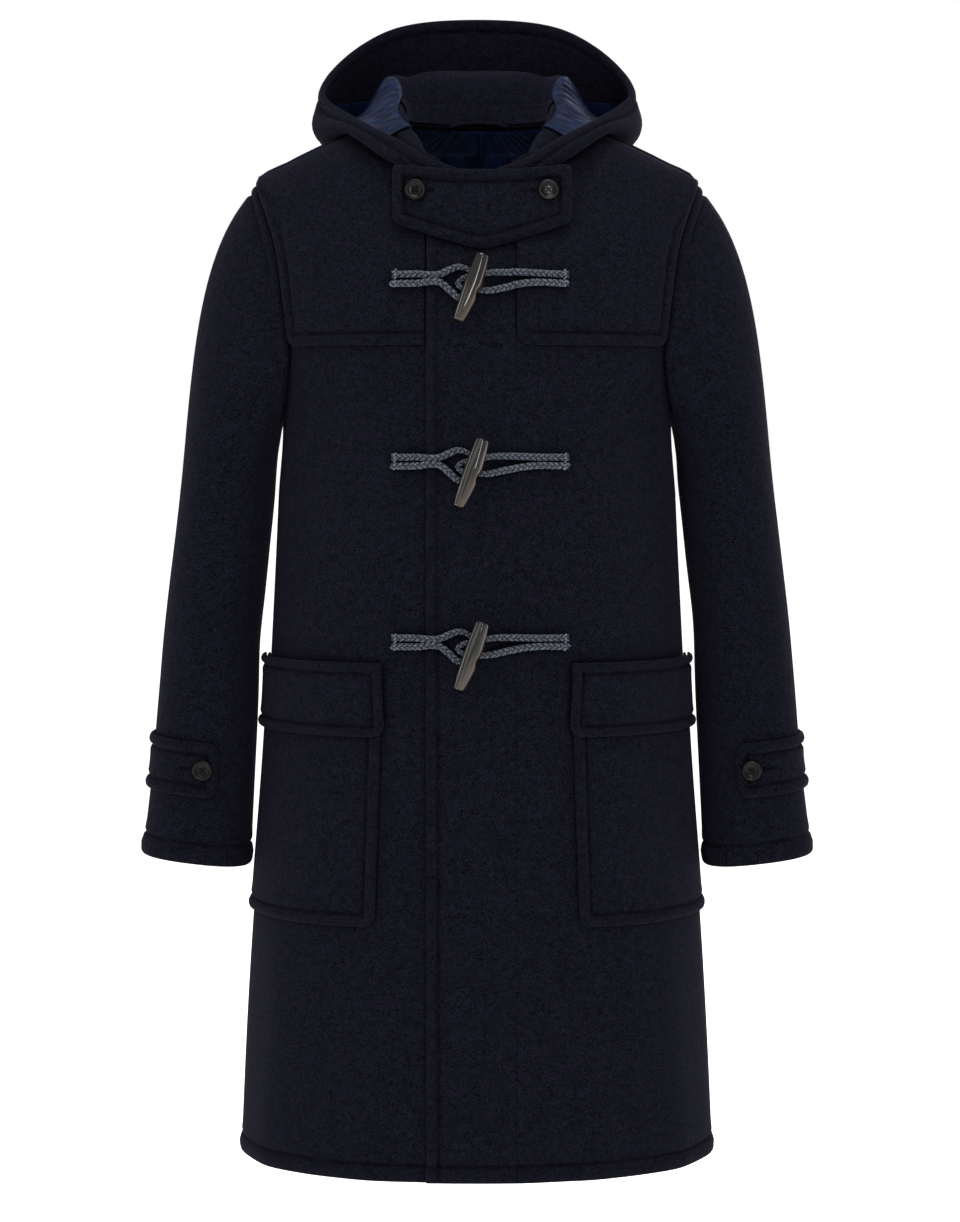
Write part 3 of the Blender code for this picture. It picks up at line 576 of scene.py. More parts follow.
def cloth(name, place, low, high, finish, wall=CLOTH, layer=-CLOTH, stitches=None, corners=(),
          radius=CORNER, step=0.010, detail=None, inner_detail=None, both_faces=0.0, ease=None,
          held="stretched", rests_on=(), slot="wool"):
    """One piece of cloth. place(row, share, out) gives its points for rows from low to high, shares across.

    layer is how far its inner face lies out from the surface. stitches maps an edge's name to the distance
    of its stitches. detail(points, row, share) adds height to the outer face and inner_detail to the inner
    one; both_faces is how much of the stitches' relief the inner face has too; ease(away, row, share)
    changes the distances to the edges where an edge doesn't roll.
    """
    stitches = stitches or {}
    tall = np.linspace(low, high, 60)
    sample = place(tall[:, None], np.linspace(0, 1, 40)[None, :], layer + wall / 2)
    heights = np.linalg.norm(np.diff(sample, axis=0), axis=2).sum(axis=0)
    widths = np.linalg.norm(np.diff(sample, axis=1), axis=2).sum(axis=1)
    rows, top_line, hem_line = grid_lines(np.median(heights), stitches.get("top"), stitches.get("hem"), step)
    columns, first_line, last_line = grid_lines(
        np.median(widths), stitches.get("first"), stitches.get("last"), step)
    # Each column has its own rows, at even lengths down it, and each row its own shares.
    guides = np.linspace(0, 1, 25)
    lines = place(np.linspace(low, high, 160)[:, None], guides[None, :], layer + wall / 2)
    guide_rows = np.array([even_shares(lines[:, k], rows) for k in range(25)]).T
    fine = np.linspace(0, 1, 160)
    fine_rows = low + (high - low) * np.array([np.interp(fine, guides, row) for row in guide_rows])
    across = place(fine_rows, np.broadcast_to(fine, fine_rows.shape), layer + wall / 2)
    shares = np.array([even_shares(line, columns) for line in across])
    row_grid = np.array([np.interp(share, fine, row) for share, row in zip(shares, fine_rows)])
    middle = place(row_grid, shares, layer + wall / 2)
    above = place(row_grid, shares, layer + wall / 2 + 0.001)
    if corners:
        middle = rounded(middle, rows, columns, corners, radius)
        above = rounded(above, rows, columns, corners, radius)
    out = unit(above - middle)
    edges = {"top": middle[0], "hem": middle[-1], "first": middle[:, 0], "last": middle[:, -1]}
    away = {edge: to_line(middle, line) for edge, line in edges.items()}
    if ease is not None:
        away = ease(away, row_grid, shares)
    nearest = np.minimum.reduce(list(away.values()))
    roll = wall / 2 * np.sqrt(np.clip(1 - (1 - np.clip(nearest / (wall * 0.62), 0, 1)) ** 2, 0, 1))
    height = np.zeros(nearest.shape)
    for depth in sorted(set(stitches.values())):
        sewn = np.minimum.reduce([away[edge] for edge, value in stitches.items() if value == depth])
        height += stitched_relief(sewn, depth, middle) * np.clip(nearest / 0.0012, 0, 1)
    if detail is not None:
        height += detail(middle, row_grid, shares)
    outer = middle + out * (roll + height)[..., None]
    inner_height = height * both_faces
    if inner_detail is not None:
        inner_height = inner_height + inner_detail(middle, row_grid, shares)
    inner = middle - out * (roll + inner_height)[..., None]
    points, faces = shell_mesh(outer, inner)
    centre = (len(rows) // 2, len(columns) // 2)
    down = middle[centre[0] + 1, centre[1]] - middle[centre]
    along = middle[centre[0], centre[1] + 1] - middle[centre]
    if np.cross(down, along) @ out[centre] < 0:
        faces = faces[:, ::-1]
    made = add_mesh(name, points, faces.tolist(), finish)
    on_coat(made, name)
    # The rows of stitches follow the grid lines that lie on them.
    sunk = outer - out * THREAD * 0.5
    lines = {"top": top_line, "hem": hem_line, "first": first_line, "last": last_line}
    top = lines["top"] or 0
    hem = lines["hem"] or len(rows) - 1
    first = lines["first"] or 0
    last = lines["last"] or len(columns) - 1
    routes = {"top": (top, slice(first, last + 1)), "hem": (hem, slice(first, last + 1)),
              "first": (slice(top, hem + 1), first), "last": (slice(top, hem + 1), last)}
    for edge in stitches:
        SEWN.append((sunk[routes[edge]], out[routes[edge]]))


# %% [markdown]
# ## Wool, satin, horn and cord
#
# Melton is woven, then fulled until its fibres felt together, so it has a matt nap and a soft mottle and no
# threads to see. Sheen gives the pale bloom of its nap at grazing angles, and fine noise bends the light as
# the fibres do; where layers meet and in folds, the wool's colour is darkened as painted shade. The linings
# are satin, whose long floating threads shine across one direction. The toggles are polished horn, grown in
# streaks, the cords are plaited from blue strands on a near-black core whose colour is painted shade for the
# gaps of the plait, and the sewing thread shows the twist of its two plies.

# %% What the materials share
def ramp(tree, factor, *stops):
    """Colour socket of a ramp over the factor; each stop is a position and a colour code."""
    made = node(tree, "ShaderNodeValToRGB", links={"Fac": factor})
    elements = made.color_ramp.elements
    for end, (position, code) in zip((elements[0], elements[1]), (stops[0], stops[-1])):
        end.position = position
        end.color = colour(code)
    for position, code in stops[1:-1]:
        elements.new(position).color = colour(code)
    return made.outputs["Color"]


def bump(tree, height, strength, distance, **under):
    """Normal socket of a bump of this height, in metres, over another one's normal if it is given."""
    return node(tree, "ShaderNodeBump", {"Strength": strength, "Distance": distance},
                {"Height": height, **under}).outputs["Normal"]


def textured(name, **sockets):
    """A new material, and the object's own metres, in which all its patterns are drawn."""
    made, tree, shader = new_material(name, **sockets)
    return made, tree, shader, node(tree, "ShaderNodeTexCoord").outputs["Object"]


def dress(tree, shader, base, normal):
    """Joins a colour and a normal to the shader."""
    tree.links.new(base, shader.inputs["Base Color"])
    tree.links.new(normal, shader.inputs["Normal"])


# %% Melton wool
PAINTED_SHADE_REACH = 0.010           # metres from an edge or a fold within which painted shade darkens the wool
PAINTED_SHADE_DARKEST = 0.12          # share of its colour that the painted shade leaves in the deepest folds
MOTTLE_SCALE = 160.0        # the felt's mottle is about 6 mm across
TUFT_SCALE = 780.0          # its tufts of fibre are under 1 mm; drawn at 1.3 mm, so that they show


def melton(name, base, shade, bloom):
    """Felted wool: rough and hardly specular, so it is matt; mottled, with a pale bloom of sheen.

    Wool has an IOR of about 1.5. A roughness near 1 and a very low specular level give the eye a dead matt
    surface, as its standing nap scatters light. Where layers meet and in folds, an ambient occlusion node
    darkens its colour: painted shade.
    """
    made, tree, shader, place = textured(name, Roughness=0.93, IOR=1.5, Specular_IOR_Level=0.03,
                                         Sheen_Weight=0.04, Sheen_Roughness=0.45)
    shader.inputs["Sheen Tint"].default_value = colour(bloom)
    mottle = node(tree, "ShaderNodeTexNoise", {"Scale": MOTTLE_SCALE, "Detail": 3.0, "Roughness": 0.6},
                  {"Vector": place}).outputs["Fac"]
    tufts = node(tree, "ShaderNodeTexNoise", {"Scale": TUFT_SCALE, "Detail": 2.0, "Roughness": 0.8},
                 {"Vector": place}).outputs["Fac"]
    spread = node(tree, "ShaderNodeMix", {"Factor": 0.80}, {2: mottle, 3: tufts})
    felt = ramp(tree, spread.outputs[0], (0.40, shade), (0.62, base))
    # Painted shade: ambient occlusion darkens the felt's colour where layers meet and in folds.
    painted_shade_occlusion = node(tree, "ShaderNodeAmbientOcclusion", {"Distance": PAINTED_SHADE_REACH}, samples=6)
    depth = node(tree, "ShaderNodeMapRange",
                 {"From Min": 0.35, "From Max": 0.9, "To Min": PAINTED_SHADE_DARKEST, "To Max": 1.0},
                 {"Value": painted_shade_occlusion.outputs["AO"]})
    sunk = node(tree, "ShaderNodeMix", {"Factor": 1.0}, {6: felt, 7: depth.outputs["Result"]},
                data_type="RGBA", blend_type="MULTIPLY")
    fine = bump(tree, tufts, 0.7, 0.0009)
    dress(tree, shader, sunk.outputs[2], bump(tree, mottle, 0.35, 0.0015, Normal=fine))
    return made


wool = melton("navy melton wool", "171722", "020204", "9B98BC")


# %% Sewing thread
TWIST_SCALE = 320.0         # a ply comes round about once a millimetre


def spun_thread(name, light, dark, gloss):
    """Sewing thread: polyester, IOR 1.5; its two plies show as fine slanting bands, softly shining."""
    made, tree, shader, place = textured(name, Roughness=0.65, Specular_IOR_Level=gloss)
    twist = node(tree, "ShaderNodeTexWave", {"Scale": TWIST_SCALE, "Distortion": 0.8}, {"Vector": place},
                 bands_direction="DIAGONAL").outputs["Fac"]
    bands = ramp(tree, twist, (0.0, dark), (1.0, light))
    dress(tree, shader, bands, bump(tree, twist, 0.4, 0.0001))
    return made


thread = spun_thread("navy polyester thread", "09090E", "040406", 0.05)
end_thread = spun_thread("pale grey thread", "747B89", "3A404C", 0.3)


# %% Satin
CLOUD_SCALE = 60.0          # the dye's unevenness, about 17 mm across
RIB_SCALE = 320.0           # satin's threads are about 0.1 mm; drawn 1 mm apart, so that they show


def satin_cloth(name, light, dark, shine):
    """Satin: polyester, IOR 1.52, smoother than wool and anisotropic, so its pleats catch long highlights.

    Its dyed filaments tint what they reflect, so shine is a blue.
    """
    made, tree, shader, place = textured(name, Roughness=0.33, IOR=1.52, Specular_IOR_Level=0.13,
                                         Anisotropic=0.5)
    shader.inputs["Specular Tint"].default_value = colour(shine)
    cloudy = node(tree, "ShaderNodeTexNoise", {"Scale": CLOUD_SCALE, "Detail": 3.0}, {"Vector": place})
    dye = ramp(tree, cloudy.outputs["Fac"], (0.35, dark), (0.65, light))
    rib = node(tree, "ShaderNodeTexWave", {"Scale": RIB_SCALE, "Distortion": 1.2, "Detail": 1.0},
               {"Vector": place}, bands_direction="DIAGONAL")
    dress(tree, shader, dye, bump(tree, rib.outputs["Fac"], 0.12, 0.0002))
    return made


satin = satin_cloth("navy polyester satin", "0F1B36", "070D1C", "4A6AAE")


# %% Horn
STREAK_SCALE = 240.0        # streaks about 4 mm across, before they are drawn out along the horn
PALER = 0.25                # weight of the way to the paler side, beside the streaks


def horn(name, dark, middle, light, long_axis_scale, polish, gloss, paler_side=(0.0, 0.0, 0.0)):
    """Horn: keratin, IOR 1.54, streaked along its growth, with a coat for its polish.

    The base is half rough and the thin coat nearly smooth, so the eye sees a soft glow under one crisp line
    of light. gloss is the strength of the polish. Horn is paler on what was its outside and to its tip.
    """
    made, tree, shader, place = textured(name, Roughness=polish, IOR=1.54, Coat_Weight=gloss,
                                         Coat_Roughness=0.06, Specular_IOR_Level=0.04 + 0.2 * gloss)
    drawn = node(tree, "ShaderNodeMapping", {"Scale": (1.0, 1.0, long_axis_scale)}, {"Vector": place})
    streak = node(tree, "ShaderNodeTexNoise",
                  {"Scale": STREAK_SCALE, "Detail": 4.0, "Roughness": 0.5, "Distortion": 0.3},
                  {"Vector": drawn.outputs["Vector"]}).outputs["Fac"]
    growth = node(tree, "ShaderNodeVectorMath", {1: paler_side}, {0: place}, operation="DOT_PRODUCT")
    tone = node(tree, "ShaderNodeMath", {1: PALER}, {0: growth.outputs["Value"], 2: streak},
                operation="MULTIPLY_ADD")
    grown = ramp(tree, tone.outputs[0], (0.25, dark), (0.5, middle), (0.85, light))
    dress(tree, shader, grown, bump(tree, streak, 0.08, 0.0003))
    return made


toggle_horn = horn("polished buffalo horn", "12110C", "080705", "46331C", 0.04, 0.34, 0.7,
                   paler_side=(70.0, 0.0, -22.0))
button_horn = horn("dark button horn", "050505", "0A0A0A", "161717", 1.0, 0.42, 0.12)


# %% Cord
FLECK_SCALE = 520.0         # flecks of about 2 mm


def cord_strand(name, light, dark):
    """Waxed cotton, IOR 1.5: a flecked strand of the plait, whose wax gives the eye a dull gloss. The
    near-black one is the core, painted shade for the gaps between the leaves.
    """
    made, tree, shader, place = textured(name, Roughness=0.62, IOR=1.5, Specular_IOR_Level=0.35,
                                         Sheen_Weight=0.15, Sheen_Roughness=0.4)
    fleck = node(tree, "ShaderNodeTexNoise", {"Scale": FLECK_SCALE, "Detail": 4.0, "Roughness": 0.65},
                 {"Vector": place}).outputs["Fac"]
    flecked = ramp(tree, fleck, (0.38, dark), (0.60, light))
    dress(tree, shader, flecked, bump(tree, fleck, 0.4, 0.0004))
    return made


pale_strand = cord_strand("steel-blue waxed cotton", "505866", "1B1F28")
# The core's near-black colour is painted shade: it shows only in the gaps between the pale leaves.
shaded_cord_core = cord_strand("cord core in painted shade", "0C0E13", "020304")

# %% [markdown]
# ## Fronts, back and yokes
#
# The wearer's left front laps over the right. Its free edge is a band that runs from throat to hem, joined
# to the front by a straight seam. A second layer of wool, the yoke, covers the shoulders in front and behind
# and keeps rain out; its lower edge is stitched down with rounded corners. Each piece here has its edges as
# angles round the body at every drop, so a seam stays closed at all levels.

# %% The body's panels
HEM_STITCH = 0.017
EDGE_STITCH = 0.012
YOKE_INSET = 0.007


def left_piece(first, last, lift=None):
    """Place function of a piece between two edges on the wearer's left; lift raises it where it needs it."""
    def place(row, share, out):
        row, share = grids(row, share)
        start = first(row)
        angle = start + (last(row) - start) * share
        extra = 0.0 if lift is None else lift(row, angle)
        return body(row, angle, out + extra)
    return place


def right_piece(first, last):
    """The same on the wearer's right, from the edges' angles on the left."""
    def place(row, share, out):
        row, share = grids(row, share)
        start = first(row)
        return body(row, math.pi - (start + (last(row) - start) * share), out)
    return place


def onto_band(row, angle):
    """The over front rises onto the layer of its band as it nears the middle."""
    x = squared(angle, curve_through(DROPS, BODY, row)[..., 0], 1.0)[0]
    return STEP * (1 - smooth(x, BAND_SEAM, 0.100))


def at_x(x):
    """An edge that follows this x down the front."""
    return lambda row: angle_at(row, x)


def side_seam(inset=0.0, sign=-1.0, start=0.0):
    """An edge at the side seam and round the armhole: in front, or behind with the sign and start turned."""
    return lambda row: start + sign * side_edge(row, inset)


LAST_DROP = DROPS[-1]
YOKE_DROP = drop_of(YOKE_HEM)
YOKE_GAP = 0.0012       # between the right yoke's edge and the band that laps over it

cloth("front_left", left_piece(at_x(BAND_SEAM - SEAM_LAP), side_seam(), onto_band), 0.0, LAST_DROP, wool,
      stitches={"hem": HEM_STITCH}, held="hung", rests_on=["back"])
cloth("front_right", right_piece(at_x(-UNDER_EDGE), side_seam()), 0.0, LAST_DROP, wool,
      stitches={"hem": HEM_STITCH}, held="hung", rests_on=["back"])
cloth("front_band", left_piece(at_x(BAND_EDGE), at_x(BAND_SEAM + SEAM_LAP)), 0.0, LAST_DROP, wool, layer=LIFT,
      stitches={"first": EDGE_STITCH, "hem": HEM_STITCH}, held="hung", rests_on=["front_left"])
cloth("back", left_piece(side_seam(sign=1.0), side_seam(start=math.pi)), 0.0, LAST_DROP, wool,
      stitches={"hem": HEM_STITCH}, held="hung", rests_on=["hood_left"])
cloth("yoke_left", left_piece(at_x(BAND_SEAM), side_seam(YOKE_INSET), onto_band), 0.0, YOKE_DROP, wool,
      layer=LIFT, stitches={"hem": EDGE_STITCH, "last": EDGE_STITCH}, corners=("hem_first", "hem_last"),
      step=0.008, rests_on=["front_left"])
cloth("yoke_right", right_piece(at_x(-BAND_EDGE + YOKE_GAP), side_seam(YOKE_INSET)), 0.0, YOKE_DROP, wool,
      layer=LIFT, stitches={"hem": EDGE_STITCH, "last": EDGE_STITCH}, corners=("hem_last",), step=0.008,
      rests_on=["front_right"])
cloth("yoke_back", left_piece(side_seam(YOKE_INSET, 1.0), side_seam(YOKE_INSET, -1.0, math.pi)),
      0.0, YOKE_DROP, wool, layer=LIFT, step=0.009, rests_on=["back"],
      stitches={"first": EDGE_STITCH, "last": EDGE_STITCH, "hem": EDGE_STITCH})

# %% [markdown]
# ## Patch pockets and their flaps
#
# Each pocket is a square patch from the side seam forwards, sewn round three sides, with one rounded corner.
# Its flap is a second patch over the pocket's mouth, a little wider at its foot, stitched round and along
# its top, where it is sewn to the coat.

# %% Pockets and flaps
FLAP_STITCH = 0.010
FLARE = math.radians(1.2)
MOUTH = drop_of(FLAP_TOP)
FLAP_FOOT = drop_of(FLAP_HEM)


def flap_edge(row):
    """The flap's front edge, which flares forwards on its way down."""
    return -pocket_edge(row) - FLARE * smooth(row, MOUTH, FLAP_FOOT)


for side, piece in (("left", left_piece), ("right", right_piece)):
    cloth(f"pocket_{side}", piece(lambda row: -pocket_edge(row), side_seam()),
          MOUTH, drop_of(POCKET_HEM), wool, layer=LIFT, stitches={"first": EDGE_STITCH, "hem": EDGE_STITCH},
          corners=("hem_first",), step=0.008, rests_on=[f"front_{side}"])
    cloth(f"flap_{side}", piece(flap_edge, side_seam()),
          MOUTH, FLAP_FOOT, wool, layer=STEP + 2 * LIFT, corners=("hem_first",), step=0.006,
          stitches={"first": FLAP_STITCH, "hem": FLAP_STITCH, "top": FLAP_STITCH},
          rests_on=[f"pocket_{side}"])

# %% [markdown]
# ## Sleeves
#
# A coat sleeve is cut in two pieces, a wide upper one and a narrow one under the arm, and its head is eased
# into the armhole. It leaves the shoulder outwards and soon turns down. So each line of its cloth is a curve
# that starts at a point of the armhole and ends on a ring of the tube, and below that the tube follows a
# short table. Two places crease: inside the elbow and under the arm.

# %% The sleeve's surface
TUBE = np.array([  # z, x, y, half_width, half_depth, tilt: the rise per metre towards the outside
    (-0.360, 0.2575, 0.000, 0.0475, 0.070, 0.08),
    (-0.504, 0.2725, -0.004, 0.0500, 0.064, 0.10),
    (-0.605, 0.2800, -0.009, 0.0520, 0.060, 0.11),
    (-0.727, 0.2895, -0.016, 0.0555, 0.056, 0.12),
])
TUBE_DROPS = TUBE[0, 0] - TUBE[:, 0]
CAP = 0.30
CAP_PULL = 0.24
TUBE_PULL = 0.30
FRONT_SEAM = math.radians(125.0)
BACK_SEAM = math.radians(235.0)
SEAM_TURN = -SEAM_LAP / 0.055
STRAP_TOP = -0.6030
STRAP_HEM = -0.6590

SLEEVE_WAVES = {  # down, turn in degrees, half length, half width in degrees, height, lean
    "left": ((0.06, 62.0, 0.030, 34.0, -0.0026, 60.0), (0.10, 110.0, 0.035, 36.0, 0.0024, -40.0),
             (0.17, 70.0, 0.030, 40.0, -0.0022, 50.0), (-0.06, 100.0, 0.040, 30.0, -0.0026, 60.0),
             (-0.11, 150.0, 0.035, 36.0, 0.0022, 0.0), (0.02, -20.0, 0.09, 26.0, 0.0020, 30.0),
             (0.12, 200.0, 0.045, 40.0, -0.0026, 30.0), (0.20, -100.0, 0.06, 34.0, 0.0026, -30.0),
             (-0.02, 220.0, 0.035, 40.0, 0.0022, 0.0), (0.28, 20.0, 0.07, 40.0, -0.0014, 0.0)),
    "right": ((0.04, 70.0, 0.032, 36.0, -0.0026, 50.0), (0.12, 100.0, 0.030, 34.0, 0.0024, -50.0),
              (0.19, 60.0, 0.034, 38.0, -0.0022, 40.0), (-0.08, 106.0, 0.038, 32.0, -0.0024, 50.0),
              (-0.12, 160.0, 0.032, 36.0, 0.0022, 0.0), (0.00, -30.0, 0.10, 28.0, 0.0022, 20.0),
              (0.14, 206.0, 0.040, 38.0, -0.0026, 20.0), (0.22, -96.0, 0.05, 36.0, 0.0024, -20.0),
              (0.00, 225.0, 0.035, 38.0, 0.0022, 0.0), (0.30, 10.0, 0.07, 44.0, -0.0014, 0.0)),
}


def armhole_point(turn):
    """The armhole's edge, as (drop, angle): turn 0 is the tip, pi the underarm, 2 pi the tip again."""
    down = np.linspace(0, 1, 400) ** 2
    share = np.concatenate([down * 0.5, 1 - down[::-1][1:] * 0.5])
    drop = TIP_DROP + share * (UNDERARM_DROP - TIP_DROP)
    edge = ring_point(curve_through(DROPS, BODY, drop), -armhole(drop))
    length = lengths_along(edge)
    turn = np.mod(turn, 2 * math.pi)
    front = np.where(turn <= math.pi, turn, 2 * math.pi - turn)
    at = np.interp(front / math.pi * length[-1], length, drop)
    return at, np.where(turn <= math.pi, -1.0, 1.0) * armhole(at)


def tube_point(row, turn):
    """Point of the sleeve tube: turn 0 is its outer side, a quarter turn its front."""
    z, x_middle, y_middle, wide, deep, tilt = np.moveaxis(row, -1, 0)
    across, ahead = squared(turn, wide, deep)
    return np.stack([x_middle + across, y_middle - ahead, z + tilt * across], axis=-1)


def sleeve_surface(down, turn):
    """Outer face of the left sleeve: down is negative on the head and the tube's own drop below it."""
    drop, angle = armhole_point(turn)
    start = ring_point(curve_through(DROPS, BODY, drop), angle)
    away = np.stack([0.75 + 0.15 * np.cos(turn), -0.10 * np.sin(turn), -0.75 - 0 * turn], axis=-1)
    away = away * (0.55 + 0.45 * np.cos(turn / 2) ** 2)[..., None]
    away[..., 0] = away[..., 0] * (0.55 + 0.45 * np.cos(turn))
    end = tube_point(curve_through(TUBE_DROPS, TUBE, np.zeros_like(down)), turn)
    ahead = (tube_point(curve_through(TUBE_DROPS, TUBE, np.full_like(down, 0.01)), turn) - end) / 0.01
    s = np.clip(1 + down / CAP, 0, 1)[..., None]
    cap = ((2 * s**3 - 3 * s**2 + 1) * start + (s**3 - 2 * s**2 + s) * CAP_PULL * away
           + (3 * s**2 - 2 * s**3) * end + (s**3 - s**2) * TUBE_PULL * ahead)
    tube = tube_point(curve_through(TUBE_DROPS, TUBE, np.maximum(down, 0)), turn)
    return np.where((down < 0)[..., None], cap, tube)


def sleeve(down, turn, out, side):
    """Point of a sleeve, out from its outer face, with that side's waves."""
    def waved(down, turn):
        point = sleeve_surface(down, turn)
        # The waves fade out at the armhole and at the cuff.
        height = waves(down, turn, SLEEVE_WAVES[side])
        height = height * smooth(down, -0.26, -0.16) * (1 - smooth(down, 0.33, 0.37))
        point[..., 0] += height * np.cos(turn)
        point[..., 1] -= height * np.sin(turn)
        return point
    point = moved_out(waved, down, turn, -np.asarray(out))
    return point if side == "left" else point * np.array([-1.0, 1.0, 1.0])


def sleeve_piece(side, first, last):
    """Place function of a piece between two turns round the sleeve on this side."""
    def place(row, share, out):
        return sleeve(row, first + (last - first) * np.asarray(share, float), out, side)
    return place


# %% Sleeves and cuff straps
CUFF_STITCH = 0.021
HEAD_STITCH = 0.013
SLEEVE_START = 0.0
STRAP_TURNS = (BACK_SEAM - 2 * math.pi + SEAM_TURN, math.radians(107.1))
strap_rows = (TUBE[0, 0] - STRAP_TOP, TUBE[0, 0] - STRAP_HEM)
for side in ("left", "right"):
    upper = sleeve_piece(side, BACK_SEAM - 2 * math.pi + SEAM_TURN, FRONT_SEAM - SEAM_TURN)
    cloth(f"upper_sleeve_{side}", upper, -CAP + SLEEVE_START, TUBE_DROPS[-1], wool,
          stitches={"top": HEAD_STITCH, "hem": CUFF_STITCH}, held="hung", rests_on=[f"front_{side}", "back"])
    under = sleeve_piece(side, FRONT_SEAM + SEAM_TURN, BACK_SEAM - SEAM_TURN)
    cloth(f"under_sleeve_{side}", under, -CAP + SLEEVE_START, TUBE_DROPS[-1], wool,
          stitches={"hem": CUFF_STITCH}, held="hung", rests_on=[f"upper_sleeve_{side}"])
    cloth(f"cuff_strap_{side}", sleeve_piece(side, *STRAP_TURNS), *strap_rows, wool, layer=LIFT,
          stitches={"top": EDGE_STITCH, "hem": EDGE_STITCH, "last": EDGE_STITCH},
          corners=("top_last", "hem_last"), step=0.007, rests_on=[f"upper_sleeve_{side}"])

# %% [markdown]
# ## The hood, worn down
#
# A hood that is worn down folds twice. From the neck seam its stand rises to a ridge round the neck, then
# the cloth drops into a bag behind it, turns up at the heel, bulges in a lobe and ends at the rim. Draping a
# cloth simulation into that shape is slow and seldom lands right, so it is drawn as a set of profiles round
# the neck, one for each row of a table, and the surface is drawn smoothly through them.

# %% The hood's surface
HOOD_INSET = 0.0050
HOOD = np.array([  # angle, then how far out and how high: ridge, floor, heel, lobe and rim
    (-80.0, -0.001, -0.030, 0.004, -0.040, 0.010, -0.049, 0.013, -0.040, 0.010, -0.029),
    (-62.0, -0.003, -0.018, 0.006, -0.031, 0.014, -0.041, 0.019, -0.032, 0.012, -0.019),
    (-40.0, -0.008, 0.002, 0.011, -0.005, 0.028, -0.020, 0.037, -0.012, 0.021, 0.001),
    (-12.0, -0.005, 0.032, 0.022, 0.024, 0.055, 0.011, 0.063, 0.017, 0.042, 0.0250),
    (10.0, 0.004, 0.060, 0.048, 0.024, 0.079, 0.0095, 0.0885, 0.022, 0.080, 0.0585),
    (35.0, 0.023, 0.079, 0.071, 0.006, 0.098, -0.006, 0.115, 0.022, 0.085, 0.103),
    (60.0, 0.020, 0.0870, 0.076, -0.034, 0.100, -0.042, 0.121, 0.004, 0.087, 0.139),
    (90.0, 0.014, 0.087, 0.071, -0.052, 0.098, -0.058, 0.121, -0.005, 0.086, 0.151),
])
HOOD_PLACES = 129
# The row after the last one is its neighbour on the other half, so that the halves meet without a kink.
HOOD_ROWS = np.concatenate([HOOD, [[180.0 - HOOD[-2, 0], *HOOD[-2, 1:]]]])


def hood_profiles():
    """For each row, points evenly spaced along the profile from neck seam to rim."""
    made = []
    for row in HOOD_ROWS:
        angle = math.radians(row[0])
        seam = ring_point(BODY[0], np.array(angle))
        away = np.array([math.cos(angle), math.sin(angle), 0.0])
        stops = [seam - away * HOOD_INSET]
        for out, z in row[1:].reshape(-1, 2):
            stop = seam + away * out
            stop[2] = z
            stops.append(stop)
        stops = np.array(stops)
        chord = np.concatenate([[0.0], np.cumsum(np.linalg.norm(np.diff(stops, axis=0), axis=1) ** 0.6)])
        dense = curve_through(chord, stops, np.linspace(0, chord[-1], 400))
        length = lengths_along(dense)
        even = np.linspace(0, length[-1], HOOD_PLACES)
        made.append(read_at(even, length, dense))
    return np.array(made)


PROFILES = hood_profiles()
HOOD_ANGLES = np.radians(HOOD_ROWS[:, 0])
MIDDLE_BACK = math.pi / 2
HOOD_LENGTHS = np.linalg.norm(np.diff(PROFILES, axis=1), axis=2).sum(axis=1)

HOOD_WAVES = {  # share of the profile, angle in degrees, half length, half width in degrees, height, lean
    "left": ((0.80, 20.0, 0.10, 9.0, 0.0022, 0.0), (0.78, 48.0, 0.10, 9.0, -0.0022, 0.0),
             (0.86, 72.0, 0.08, 8.0, 0.0018, 0.0), (0.70, -8.0, 0.10, 8.0, -0.0016, 0.0)),
    "right": ((0.80, 14.0, 0.10, 8.0, 0.0020, 0.0), (0.79, 42.0, 0.10, 9.0, -0.0024, 0.0),
              (0.85, 66.0, 0.08, 9.0, 0.0020, 0.0), (0.70, -12.0, 0.10, 8.0, -0.0016, 0.0)),
}


def hood_surface(angle, share):
    """Middle of the hood's wall: angle round the neck, share of the way from neck seam to rim."""
    rows = curve_through(HOOD_ANGLES, PROFILES.reshape(len(HOOD_ROWS), -1), angle)
    rows = rows.reshape(*np.shape(angle), HOOD_PLACES, 3)
    place = np.clip(share, 0, 1) * (HOOD_PLACES - 1)
    low = np.clip(place.astype(int), 0, HOOD_PLACES - 2)
    part = (place - low)[..., None]
    first = np.take_along_axis(rows, low[..., None, None], axis=-2)[..., 0, :]
    second = np.take_along_axis(rows, low[..., None, None] + 1, axis=-2)[..., 0, :]
    return first * (1 - part) + second * part


def hood(angle, share, out, side="left"):
    """Point of the hood, out from the middle of its wall; out is negative towards the lining."""
    angle, share, out = grids(angle, share, out)
    small = 0.012
    point = hood_surface(angle, share)
    along = hood_surface(angle + small, share) - hood_surface(angle - small, share)
    across = hood_surface(angle, share + small) - hood_surface(angle, share - small)
    normal = np.cross(along, across)
    normal[..., 0] *= 1 - smooth(angle, math.radians(88.0), math.radians(90.0))
    normal /= np.linalg.norm(normal, axis=-1, keepdims=True) + 1e-12
    # The waves fade out at the centre seam, where the two halves have to meet.
    height = waves(share, angle, HOOD_WAVES[side])
    height = height * (1 - smooth(angle, math.radians(80.0), MIDDLE_BACK))
    moved = point + normal * (out + height)[..., None]
    moved[..., 0] = np.where(angle > math.radians(89.9), -SEAM_LAP, np.maximum(moved[..., 0], -SEAM_LAP))
    return moved if side == "left" else moved * np.array([-1.0, 1.0, 1.0])


# %% [markdown]
# ## Hood, linings and neck facing
#
# The two halves of the hood meet in a seam from the neck to the rim. The rim is folded in and stitched like
# the other edges. The stand inside has a seam across it and one up each side, where its facing is joined.
# Satin lines the bag from just behind the ridge to the heel, gathered in small pleats; it lies on the inner
# side of the wool, so its points are the hood's points moved inwards.

